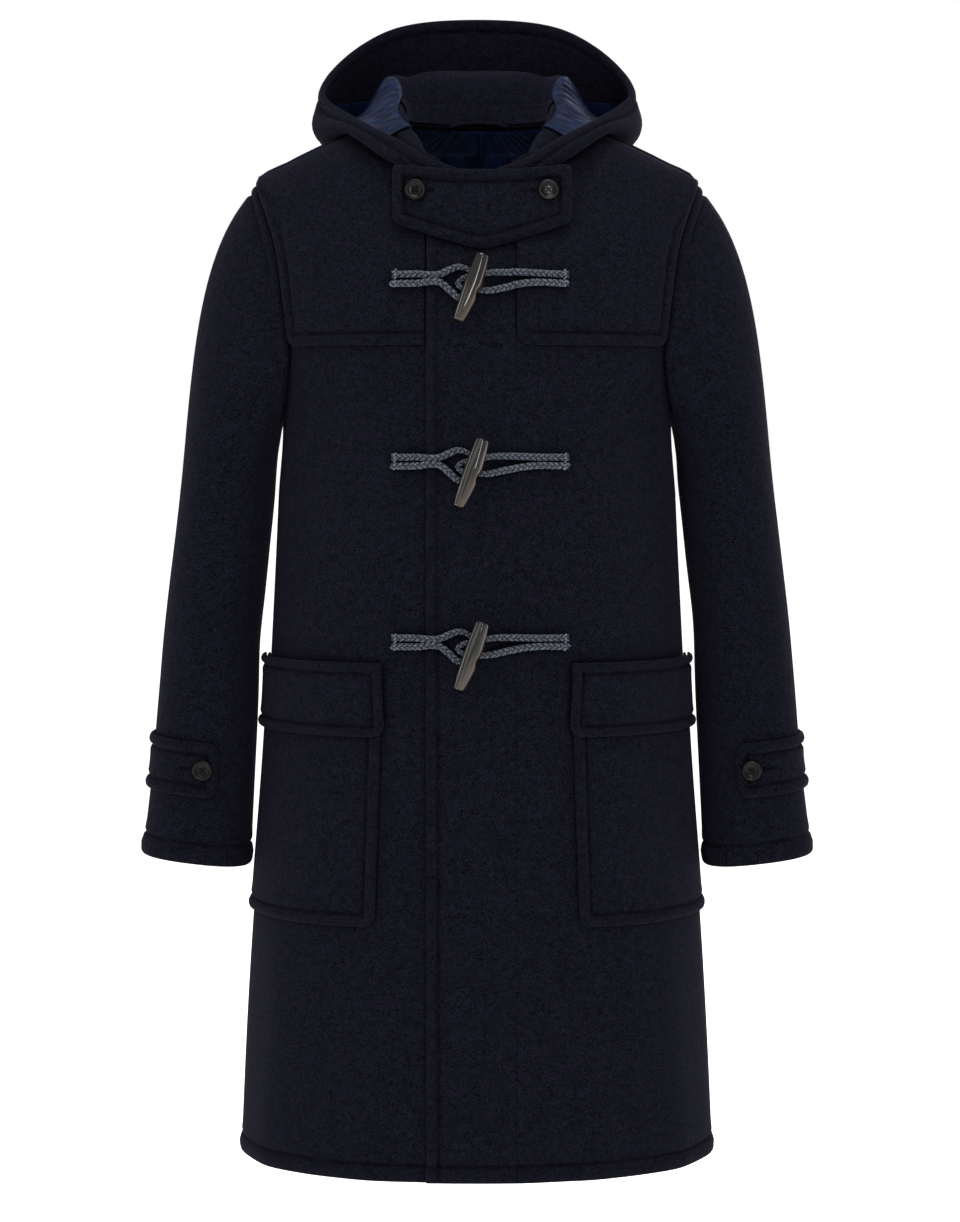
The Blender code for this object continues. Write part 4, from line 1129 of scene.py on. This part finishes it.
# %% Hood and linings
RIM_STITCH = 0.0125
STAND_SEAM_LEVEL = 0.0585
STAND_SEAM_X = 0.045
STAND_SEAM_WIDTH = 0.0012
STAND_TOP_SHARE = 0.31
LINING_FRONT = math.radians(-30.0)      # the angle where the lining starts, near the throat
HEEL_SHARE = 0.56       # where the bag turns up, as a share of the profile
HEEL_SPREAD = 0.10
HEEL_SLACK = 0.0045     # the lining doesn't reach into the fold of the heel


def length_share(angle, length):
    """The share of the hood's profile that is this far from the neck seam."""
    return length / np.interp(angle, HOOD_ANGLES, HOOD_LENGTHS)


def hood_piece(side):
    """Place function of half the hood, from its front edge to the centre seam."""
    first, last = HOOD_ANGLES[0], MIDDLE_BACK
    return lambda row, share, out: hood(first + (last - first) * np.asarray(share, float), row, out, side)


def stand_seams(points, row, share):
    """Grooves on the stand's inner side: one across it and one up each side."""
    on_stand = 1 - smooth(row, STAND_TOP_SHARE - 0.05, STAND_TOP_SHARE)
    behind = smooth(points[..., 1], 0.01, 0.03)
    inner = np.abs(points[..., 0]) < STAND_SEAM_X + 0.012
    across = gauss(points[..., 2] - STAND_SEAM_LEVEL, STAND_SEAM_WIDTH) * inner
    up = gauss(np.abs(points[..., 0]) - STAND_SEAM_X, STAND_SEAM_WIDTH)
    swell = gauss(points[..., 2] - STAND_SEAM_LEVEL - 0.004, 0.0025) * inner
    return (0.0004 * swell - 0.0011 * np.maximum(across, up)) * on_stand * behind


def whole_stand(away, row, share):
    """The stand is cut in one piece: the seam between the hood's halves starts at the ridge."""
    plain = 1 - smooth(row, STAND_TOP_SHARE - 0.03, STAND_TOP_SHARE + 0.03)
    return {**away, "last": away["last"] + 0.02 * plain}


def lining_piece(side, first, start, end):
    """Place function of a lining on the hood's inner side, from the share start(angle) to end(angle)."""
    def place(row, share, out):
        row, share = grids(row, share)
        angle = first + (MIDDLE_BACK - first) * share
        along = start(angle) + (end(angle) - start(angle)) * row
        slack = HEEL_SLACK * gauss(along - HEEL_SHARE, HEEL_SPREAD)
        return hood(angle, along, -CLOTH / 2 - LIFT - slack - np.asarray(out), side)
    return place


def lining_start(angle):
    """The lining starts behind the ridge: close to it at the sides, further down at the back."""
    return 0.155 + 0.105 * smooth(angle, 0.28, 0.62)


def lining_end(angle):
    """It ends where the rim's facing starts, 15 to 60 mm from the rim."""
    return 0.90 - 0.08 * smooth(angle, 0.2, 0.8)


def hood_pleats(points, row, share):
    """Small pleats that fan out from the lining's upper seam."""
    fan = np.sin(share * 96.0 + 2.2 * np.sin(share * 23.0) + row * 2.0)
    second = np.sin(share * 151.0 + 1.4 * np.sin(row * 5.0) + 0.7)
    return (0.0009 * fan + 0.0007 * second) * smooth(row, 0.0, 0.08) * (1 - 0.85 * smooth(row, 0.2, 0.5))


for side in ("left", "right"):
    cloth(f"hood_{side}", hood_piece(side), 0.0, 1.0, wool, layer=-CLOTH / 2, stitches={"hem": RIM_STITCH},
          step=0.0038, inner_detail=stand_seams, both_faces=0.85, ease=whole_stand, held="folded",
          rests_on=["back", f"front_{side}"])
    cloth(f"hood_lining_{side}", lining_piece(side, LINING_FRONT, lining_start, lining_end), 0.0, 1.0, satin,
          wall=SATIN, layer=0.0, step=0.0035, detail=hood_pleats, held="gathered", rests_on=[f"hood_{side}"],
          slot="satin_lining")


# %% Neck facing and back lining
def facing_place(row, share, out):
    """Just inside the hood's foot, from one shoulder round the back of the neck to the other."""
    row, share = grids(row, share)
    turn = math.pi * share
    half = np.minimum(turn, math.pi - turn)
    point = hood(half, length_share(half, row), -CLOTH / 2 - LIFT - np.asarray(out))
    point[..., 0] *= np.where(turn > math.pi / 2, -1.0, 1.0)
    return point


def back_pleats(points, row, share):
    """Gathers of the back lining, with the pleat at its middle that lets the shoulders move."""
    x = points[..., 0]
    gathers = np.sin(share * 140.0 + 3.0 * np.sin(share * 17.0)) * 0.0006
    pleat = 0.0022 * gauss(x - 0.004, 0.003) - 0.0012 * gauss(x, 0.0025)
    return gathers * (1 - smooth(row, 0.0, 0.12)) + pleat * smooth(row, 0.0, 0.02)


FACING_ROWS = (0.002, 0.024)    # metres of the facing's upper and lower edge below the ridge seam
LINING_SIDE = 0.62              # angle where the back lining starts, behind the shoulder


def back_lining_place(row, share, out):
    """Just inside the back, between the two shoulders."""
    angle = LINING_SIDE + (math.pi - 2 * LINING_SIDE) * np.asarray(share, float)
    return body(row, angle, -CLOTH - LIFT - np.asarray(out))


cloth("neck_facing", facing_place, *FACING_ROWS, wool, wall=FACING, layer=0.0, step=0.008,
      rests_on=["hood_left"])
cloth("back_lining", back_lining_place, 0.0, TIP_DROP + 0.06, satin, wall=SATIN, layer=0.0, step=0.004,
      detail=back_pleats, held="gathered", rests_on=["back"], slot="satin_lining")

# %% [markdown]
# ## Throat tab
#
# The tab closes the neck in bad weather. It is two layers of wool, stitched all round, with a pointed foot,
# and it lies over the hood's front corners, held by a button at each end.

# %% Throat tab
TAB_TOP = -0.0255
TAB_SIDE = -0.084
TAB_POINT = -0.110
TAB_MIDDLE = 0.005
TAB_HALF = 0.0885
TAB_LEAN = 0.10
TAB_ROUND = 0.60
TAB_DIP = 0.006


def front_spot(x, z, out):
    """Point of the coat's front at this x and height, out from its outer face, and the way out."""
    drops = np.linspace(0.0, LAST_DROP, 900)
    line = body(drops, angle_at(drops, np.full(900, x)))
    drop = np.interp(-z, -line[:, 2], drops)
    angle = angle_at(drop, x)
    point = body(drop, angle, out)
    normal = point - body(drop, angle, out - 0.001)
    return point, normal / np.linalg.norm(normal)


def tab_foot():
    """How far forward the tab lies at its point, so that it clears the layers below."""
    need = []
    for x in (-0.080, -0.060, -0.040, -0.020, 0.0, 0.020, 0.040, 0.060, 0.080, 0.090):
        z = TAB_POINT + (TAB_SIDE - TAB_POINT) * abs(x - TAB_MIDDLE) / TAB_HALF
        layers = 2 * STEP + LIFT if x > BAND_SEAM - 0.006 else STEP + LIFT
        point = front_spot(x, z, layers)[0]
        need.append(point[1] - TAB_LEAN * (z - TAB_POINT) - TAB_ROUND * (x - TAB_MIDDLE) ** 2)
    return min(need) - 2 * LIFT


TAB_FOOT = tab_foot()


def tab(x, z, out=0.0):
    """Point of the throat tab, out from its inner face."""
    y = TAB_FOOT + TAB_LEAN * (z - TAB_POINT) + TAB_ROUND * (x - TAB_MIDDLE) ** 2
    return np.stack(np.broadcast_arrays(x, y - out, z), axis=-1)


def tab_place(row, share, out):
    """The throat tab, which lies across both fronts with a dip in its upper edge."""
    row, share = grids(row, share)
    across = 2 * share - 1
    top = TAB_TOP - TAB_DIP * (1 - across**2)
    rounding = np.sqrt(across**2 + 0.01) - 0.1 * (1 - across**2) / 1.0
    hem = TAB_POINT + (TAB_SIDE - TAB_POINT) * rounding / math.sqrt(1.01)
    return tab(TAB_MIDDLE + across * TAB_HALF, top + (hem - top) * row, out)


cloth("throat_tab", tab_place, 0.0, 1.0, wool, layer=0.0, step=0.006, radius=0.007,
      corners=("top_first", "top_last", "hem_first", "hem_last"),
      stitches={"top": EDGE_STITCH, "hem": EDGE_STITCH, "first": EDGE_STITCH, "last": EDGE_STITCH},
      held="laid", rests_on=["front_band", "hood_left", "hood_right"])

# %% [markdown]
# ## Buttons
#
# Each button is turned from dark horn: a raised rim, a shallow dish and four holes, sewn on with a cross of
# thread. The buttonhole beside it is a slit edged with close stitches. The button is a turned profile; its
# holes are real ones, cut with a boolean.

# %% Frames on the cloth
def facing_out(centre, normal, turn=0.0):
    """Matrix of a piece whose own +Z lies along the normal, turned about it."""
    z_axis = np.array(normal) / np.linalg.norm(normal)
    x_axis = np.cross([0.0, 0.0, 1.0], z_axis)
    x_axis /= np.linalg.norm(x_axis)
    y_axis = np.cross(z_axis, x_axis)
    made = np.eye(4)
    made[:3, 0] = x_axis * math.cos(turn) + y_axis * math.sin(turn)
    made[:3, 1] = y_axis * math.cos(turn) - x_axis * math.sin(turn)
    made[:3, 2] = z_axis
    made[:3, 3] = centre
    return made


def turned_mesh(profile, sides):
    """Points and faces of a profile of (radius, height) turned about Z; it starts and ends on the axis."""
    points = [(0.0, 0.0, profile[0][1])]
    for radius, height in profile[1:-1]:
        for k in range(sides):
            turn = 2 * math.pi * k / sides
            points.append((radius * math.cos(turn), radius * math.sin(turn), height))
    points.append((0.0, 0.0, profile[-1][1]))
    last = len(points) - 1
    rings = len(profile) - 2
    faces = [(0, 1 + k, 1 + (k + 1) % sides) for k in range(sides)]
    for ring in range(rings - 1):
        low = 1 + ring * sides
        for k in range(sides):
            faces.append((low + k, low + sides + k, low + sides + (k + 1) % sides, low + (k + 1) % sides))
    low = 1 + (rings - 1) * sides
    faces += [(last, low + (k + 1) % sides, low + k) for k in range(sides)]
    return np.array(points), faces


ANY_WAY = np.array([0.3, 0.2, 0.9])     # a direction that no tube here starts along


def swept(line, radius, sides):
    """Points and faces of a round tube along a line of points; radius may be one value for each point."""
    line = np.asarray(line, float)
    radius = np.broadcast_to(radius, len(line)).copy()
    ahead = unit(np.gradient(line, axis=0))
    side = unit(np.cross(ahead[0], ANY_WAY))
    points = []
    for spot, way, size in zip(line, ahead, radius):
        side = unit(side - way * (side @ way))
        up = np.cross(way, side)
        for k in range(sides):
            turn = 2 * math.pi * k / sides
            points.append(spot + (side * math.cos(turn) + up * math.sin(turn)) * size)
    faces = ring_faces(0, len(line), sides)
    faces.append(tuple(reversed(range(sides))))
    faces.append(tuple((len(line) - 1) * sides + k for k in range(sides)))
    return np.array(points), faces


def joined(parts):
    """One set of points and faces from several."""
    points = []
    faces = []
    base = 0
    for part_points, part_faces in parts:
        points.append(part_points)
        faces += [tuple(base + k for k in face) for face in part_faces]
        base += len(part_points)
    return np.concatenate(points), faces


def placed(points, frame_matrix):
    """The points moved from a matrix's own axes into the coat's frame."""
    return points @ frame_matrix[:3, :3].T + frame_matrix[:3, 3]


# %% Buttons
BUTTON = 0.0205         # a button's diameter
HOLE = 0.0013
HOLE_APART = 0.0021     # from the button's middle to each hole, across and up
# Columns: share of the radius, height off the cloth.
BUTTON_PROFILE = (
    (0.0, 0.0024), (0.25, 0.0023), (0.52, 0.0024), (0.62, 0.0028), (0.70, 0.0037), (0.80, 0.0042),
    (0.90, 0.0041), (0.97, 0.0035), (1.0, 0.0027), (0.97, 0.0019), (0.90, 0.0006), (0.80, 0.0), (0.0, 0.0))


def button(name, centre, normal, turn):
    """A four-holed button on the cloth, and the thread that holds it."""
    matrix = facing_out(centre + normal * 0.0003, normal, turn)
    profile = [(radius * BUTTON / 2, height) for radius, height in BUTTON_PROFILE]
    points, faces = turned_mesh(profile, 64)
    made = add_mesh(name, placed(points, matrix), faces, button_horn)
    cutters = []
    for across, up in ((-1, -1), (1, -1), (-1, 1), (1, 1)):
        line = np.array([(across * HOLE_APART, up * HOLE_APART, z) for z in (0.0012, 0.0060)])
        cutters.append(swept(line, HOLE, 16))
    points, faces = joined(cutters)
    cutter = add_mesh(name + "_holes", placed(points, matrix), faces, button_horn)
    drill = made.modifiers.new("holes", "BOOLEAN")
    drill.operation = "DIFFERENCE"
    drill.solver = "EXACT"
    drill.object = cutter
    bpy.context.view_layer.update()
    drilled = bpy.data.meshes.new_from_object(made.evaluated_get(bpy.context.evaluated_depsgraph_get()))
    made.modifiers.clear()
    made.data = drilled
    drilled.shade_smooth()
    drilled.set_sharp_from_angle(angle=math.radians(40.0))
    bpy.data.objects.remove(cutter, do_unlink=True)
    on_coat(made, name)
    bars = []
    for start, end in (((-1, -1), (1, 1)), ((1, -1), (-1, 1)), ((-1, -1), (1, 1)), ((1, -1), (-1, 1))):
        shift = 0.00022 * (len(bars) // 2 * 2 - 1)
        path = [(start[0] * HOLE_APART, start[1] * HOLE_APART, 0.0016)]
        for share in np.linspace(0, 1, 7):
            across = start[0] + (end[0] - start[0]) * share
            up = start[1] + (end[1] - start[1]) * share
            rise = 0.0026 + 0.0005 * math.sin(math.pi * share)
            path.append((across * HOLE_APART + shift, up * HOLE_APART, rise))
        path.append((end[0] * HOLE_APART, end[1] * HOLE_APART, 0.0016))
        bars.append(swept(path, 0.0003, 8))
    points, faces = joined(bars)
    on_coat(add_mesh(name + "_thread", placed(points, matrix), faces, thread))


def buttonhole(name, start, end, out):
    """A worked buttonhole from start to end: a bar of close stitches on each side of the slit."""
    start, end, out = (np.asarray(value, float) for value in (start, end, out))
    ahead = (end - start) / np.linalg.norm(end - start)
    aside = np.cross(out, ahead)
    parts = []
    count = int(np.linalg.norm(end - start) / 0.0006)
    for k in range(count + 1):
        spot = start + (end - start) * k / count
        for sign in (-1, 1):
            path = [spot + aside * sign * reach + out * lift for reach, lift in
                    ((0.0002, 0.0001), (0.0006, 0.0006), (0.0013, 0.0005), (0.0018, 0.0))]
            parts.append(swept(path, 0.0003, 6))
    points, faces = joined(parts)
    on_coat(add_mesh(name, points, faces, thread))


TAB_BUTTON_LEVEL = -0.052
for side, x, inward in (("right", -0.0607, 1.0), ("left", 0.0703, -1.0)):
    centre = tab(np.array(x), np.array(TAB_BUTTON_LEVEL), CLOTH)
    across = tab(np.array(x + 1e-3), np.array(TAB_BUTTON_LEVEL), CLOTH) - centre
    down = tab(np.array(x), np.array(TAB_BUTTON_LEVEL - 1e-3), CLOTH) - centre
    normal = np.cross(across, -down)
    normal *= -np.sign(normal[1])
    normal /= np.linalg.norm(normal)
    button(f"tab_button_{side}", centre, normal, 0.06 * inward)
    ends = [tab(np.array(x + inward * reach), np.array(TAB_BUTTON_LEVEL), CLOTH) for reach in (0.009, 0.018)]
    buttonhole(f"tab_buttonhole_{side}", *ends, normal)

STRAP_MIDDLE = sum(strap_rows) / 2
BUTTON_TURN = math.radians(93.0)
for side in ("left", "right"):
    centre = sleeve(STRAP_MIDDLE, BUTTON_TURN, STEP, side)
    normal = sleeve(STRAP_MIDDLE, BUTTON_TURN, STEP + 0.001, side) - centre
    normal /= np.linalg.norm(normal)
    button(f"cuff_button_{side}", centre, normal, 0.10)
    ends = [sleeve(STRAP_MIDDLE, BUTTON_TURN - turn, STEP, side) for turn in (0.16, 0.34)]
    buttonhole(f"cuff_buttonhole_{side}", *ends, normal)

# %% [markdown]
# ## Toggle cords
#
# Each cord is a round plait of four thick strands. Between its crossings each strand comes to the surface as
# a slanting leaf, so the cord shows rows of leaves that slant in turn. A bump map would lose the plait's
# outline, so every leaf is a shape of its own on a near-black core, whose colour is painted shade for the
# gaps between the leaves. The loop on the wearer's right makes an eye round the toggle; the cord on the left
# goes through the toggle and back.

# %% The cords' routes
CORD = 0.0076
CORD_LIFT = 0.0006
CROSSING = 0.0064
LEAF_PITCH = 0.0056
LEAF_TILT = math.radians(36.0)
# Columns: x, height from the row's middle, height off the cloth in layers of cord, width.
LOOP_ROUTE = [
    (-0.0825, 0.0043, 0, 1.0), (-0.0600, 0.0043, 0, 1.0), (-0.0350, 0.0042, 0, 1.0),
    (-0.0265, 0.0080, 0, 1.0), (-0.0180, 0.0110, 0, 0.9), (-0.0070, 0.0070, 0, 0.72),
    (-0.0035, -0.0040, 0, 0.72), (-0.0085, -0.0150, 0, 0.72), (-0.0175, -0.0185, 0, 0.9),
    (-0.0260, -0.0115, 0, 1.0), (-0.0350, -0.0042, 0, 1.0), (-0.0600, -0.0043, 0, 1.0),
    (-0.0825, -0.0043, 0, 1.0)]
TOGGLE_ROUTE = [
    (0.0885, 0.0043, 0, 1.0), (0.0600, 0.0043, 0, 1.0), (0.0350, 0.0050, 0.05, 1.0),
    (0.0150, 0.0046, 0.45, 0.9), (0.0000, 0.0010, 1, 0.72), (-0.0120, -0.0005, 0.9, 0.72),
    (-0.0190, -0.0058, 0.6, 0.72), (-0.0120, -0.0110, 0.9, 0.72), (0.0000, -0.0125, 1, 0.72),
    (0.0120, -0.0120, 0.5, 0.9), (0.0280, -0.0085, 0.05, 1.0), (0.0500, -0.0045, 0, 1.0),
    (0.0885, -0.0043, 0, 1.0)]


def route(stops, count):
    """Smooth curve through the stops, read at count even places."""
    stops = np.array(stops)
    run = np.diff(stops[:, :3] * (1.0, 1.0, CROSSING), axis=0)
    length = np.concatenate([[0.0], np.cumsum(np.linalg.norm(run, axis=1))])
    return curve_through(length, stops, np.linspace(0, length[-1], count))


def cloth_under(x, covered):
    """Height of the cloth under a cord at this x, off the fronts' outer face; covered by a yoke or not."""
    yoke = 1.0 if covered else 0.0
    places = (BAND_EDGE - 0.014, BAND_EDGE - 0.005, BAND_SEAM - 0.008, BAND_SEAM - 0.004, 0.060, 0.095)
    layers = (yoke, 1.0, 1.0, 1.0 + yoke, 0.75 + yoke, 0.1 + yoke)
    return STEP * float(np.interp(x, places, layers))


def leaf(middle, ahead, up, long, wide, thick):
    """A bulging piece of strand: where the plait's strand comes to the surface."""
    aside = np.cross(up, ahead)
    points = [middle - ahead * long]
    for along in (-0.86, -0.5, 0.0, 0.5, 0.86):
        size = math.sqrt(1 - along * along)
        for k in range(8):
            turn = 2 * math.pi * k / 8
            points.append(middle + ahead * along * long
                          + (aside * math.cos(turn) * wide + up * math.sin(turn) * thick) * size)
    points.append(middle + ahead * long)
    faces = [(0, 1 + (k + 1) % 8, 1 + k) for k in range(8)]
    faces += ring_faces(1, 5, 8)
    faces += [(41, 33 + k, 33 + (k + 1) % 8) for k in range(8)]
    return np.array(points), faces


def plait(name, line, widths):
    """Four strands plaited round a line of points; they surface in four rows of leaves, tilted in turn."""
    run = lengths_along(line)
    count = int(run[-1] / 0.0010)
    even = np.linspace(0, run[-1], count)
    middle = read_at(even, run, line)
    width = np.interp(even, run, widths)
    ahead = unit(np.gradient(middle, axis=0))
    core = swept(middle, CORD / 2 * 0.72 * width, 12)
    leaves = []
    steps = int(run[-1] / LEAF_PITCH)
    for step in range(2 * steps + 1):
        at = min(count - 1, int(round((0.3 + step * 0.5) * LEAF_PITCH / run[-1] * (count - 1))))
        way = ahead[at]
        front = unit(np.array([0.0, -1.0, 0.0]) + way * way[1])
        side = np.cross(front, way)
        for row in range(4):
            if (row + step) % 2:
                continue
            turn = math.pi / 4 + row * math.pi / 2
            out = front * math.cos(turn) + side * math.sin(turn)
            round_way = side * math.cos(turn) - front * math.sin(turn)
            tilt = LEAF_TILT if row % 2 else -LEAF_TILT
            lie = way * math.cos(tilt) + round_way * math.sin(tilt)
            leaves.append(leaf(middle[at] + out * CORD / 2 * 0.66 * width[at], lie, out, 0.0032 * width[at],
                               0.00125 * width[at], 0.0013 * width[at]))
    points, faces = joined([core] + leaves)
    # The core is near-black, as painted shade in the gaps between the leaves; the leaves have the strands'
    # colour.
    made = add_mesh(name, points, faces, shaded_cord_core)
    made.data.materials.append(pale_strand)
    for polygon in made.data.polygons[len(core[1]):]:
        polygon.material_index = 1
    on_coat(made, name)
    print(f"{name}: {run[-1] * 1000:.0f} mm of cord, {len(made.data.polygons) * 2} triangles")


def end_stitches(name, x, level, covered):
    """The row of stitches that sews a pair of cord ends to the coat."""
    parts = []
    for rise in np.linspace(-0.0072, 0.0072, 5):
        seat = cloth_under(x, covered) + CORD + CORD_LIFT
        ends = []
        for reach, drop in ((-0.0011, -0.0016), (-0.0007, -0.0002), (0.0007, -0.0002), (0.0011, -0.0016)):
            ends.append(front_spot(x + reach, level + rise + 0.0008 * np.sign(reach), seat + drop)[0])
        parts.append(swept(ends, 0.00055, 8))
    points, faces = joined(parts)
    on_coat(add_mesh(name, points, faces, end_thread))


for row, level in TOGGLE_ROWS.items():
    covered = level > YOKE_HEM
    for name, stops in (("loop_cord", LOOP_ROUTE), ("toggle_cord", TOGGLE_ROUTE)):
        path = route(stops, 80)
        line = []
        for x, rise, layer, width in path:
            seat = cloth_under(x, covered) + CORD_LIFT + CORD / 2 * width + CROSSING * max(layer, 0.0)
            line.append(front_spot(x, level + rise, seat)[0])
        plait(f"{name}_{row}", np.array(line), path[:, 3])
    end_stitches(f"loop_stitches_{row}", -0.0790, level, covered)
    end_stitches(f"toggle_stitches_{row}", 0.0850, level, covered)

# %% [markdown]
# ## Toggles
#
# A toggle is cut from the tip of a horn, so it tapers, bends a little and is streaked along its length. It is
# a turned profile, bent, with a scoop at one side where the cord comes out of it.

# %% Toggles
TOGGLE_LENGTH = 0.070
TOGGLE_TILT = math.radians(20.0)
TOGGLE_OUT = 0.0245
SCOOP = 0.0030          # how deep the scoop is, where the cord comes out
# Columns: radius, share of half the toggle's length from its middle.
TOGGLE_PROFILE = (
    (0.0, 1.0), (0.0022, 1.0), (0.0042, 0.996), (0.0054, 0.984), (0.0062, 0.955), (0.0066, 0.88),
    (0.0072, 0.74), (0.0078, 0.55), (0.0083, 0.32), (0.0086, 0.08), (0.0085, -0.10), (0.0082, -0.26),
    (0.0076, -0.45), (0.0067, -0.66), (0.0057, -0.84), (0.0050, -0.94), (0.0045, -0.980), (0.0034, -0.996),
    (0.0018, -1.0), (0.0, -1.0))


def toggle(row, level):
    """One horn toggle, turned about its long axis, hanging askew from the cord of its row."""
    centre, normal = front_spot(-0.0055, level - 0.0125, TOGGLE_OUT)
    half = TOGGLE_LENGTH / 2
    knots = np.array([share for radius, share in TOGGLE_PROFILE])[::-1]
    radii = np.array([[radius] for radius, share in TOGGLE_PROFILE])[::-1]
    # The steps are closer at the two ends, where the toggle is rounded.
    steps = np.concatenate([np.linspace(1, 0.94, 9), np.linspace(0.94, -0.94, 60)[1:-1],
                            np.linspace(-0.94, -1, 8)])
    profile = [(float(curve_through(knots, radii, np.array([s]))[0, 0]), s * half) for s in steps]
    profile[0] = (0.0, half)
    profile[-1] = (0.0, -half)
    points, faces = turned_mesh(profile, 48)
    turn = np.arctan2(points[:, 1], points[:, 0])
    out = np.hypot(points[:, 0], points[:, 1])
    # The scoop is on the side towards the wearer's left.
    out = out - SCOOP * gauss(points[:, 2] + 0.003, 0.0042) * gauss(turn, 0.62)
    # Horn is never quite round: it is a little oval, with shallow flats that wander down it.
    oval = 1 + 0.02 * np.cos(2 * turn + 0.6)
    flats = 0.00012 * np.sin(5 * turn + points[:, 2] * 90.0)
    out = out * oval + flats * (out > 0.002)
    points = np.stack([out * np.cos(turn), out * np.sin(turn), points[:, 2]], axis=-1)
    points[:, 0] += 0.0012 * (1 - (points[:, 2] / half) ** 2) - 0.0006
    up = np.array([0.0, 0.0, 1.0]) - normal * normal[2]
    up /= np.linalg.norm(up)
    aside = np.cross(up, -normal)
    aside *= np.sign(aside[0])
    axis = up * math.cos(TOGGLE_TILT) + aside * math.sin(TOGGLE_TILT)
    matrix = np.eye(4)
    matrix[:3, 2] = axis
    matrix[:3, 0] = np.cross(normal, axis)
    matrix[:3, 0] *= np.sign(matrix[0, 0])
    matrix[:3, 1] = np.cross(axis, matrix[:3, 0])
    matrix[:3, 3] = centre
    made = add_mesh(f"toggle_{row}", points, faces, toggle_horn)
    made.matrix_world = Matrix(matrix.tolist())
    on_coat(made, f"toggle_{row}")
    print(f"toggle_{row}: {TOGGLE_LENGTH * 1000:.0f} mm long")


for row, level in TOGGLE_ROWS.items():
    toggle(row, level)

# %% [markdown]
# ## Hanger loop and topstitching
#
# The hanger is a narrow tube of wool across the back of the neck. The topstitching comes last: one mesh
# holds every stitch of the rows that the pieces left, because they are all the same thread.

# %% Hanger loop
LOOP_RADIUS = 0.0019
LOOP_LEVEL = 0.0262
LOOP_RISE = 0.0045
turns = np.radians(np.linspace(60, 90, 16))
lying = hood(turns, np.full(16, 0.012), -CLOTH / 2 - 3 * LIFT - FACING - LOOP_RADIUS)
x = np.linspace(-0.028, 0.031, 50)
y = np.interp(np.abs(x), lying[::-1, 0], lying[::-1, 1])
rise = np.sin(np.linspace(0, math.pi, 50)) ** 0.7
loop_points, loop_faces = swept(np.stack([x, y, LOOP_LEVEL + LOOP_RISE * rise], axis=-1), LOOP_RADIUS, 16)
on_coat(add_mesh("hanger_loop", loop_points, loop_faces, wool), "hanger_loop")

# %% Topstitching
stitch_points, stitch_faces = bead_mesh(SEWN)
on_coat(add_mesh("topstitching", stitch_points, stitch_faces, thread))
print("stitches:", len(stitch_points) // 24, "triangles:", len(stitch_faces) * 2)
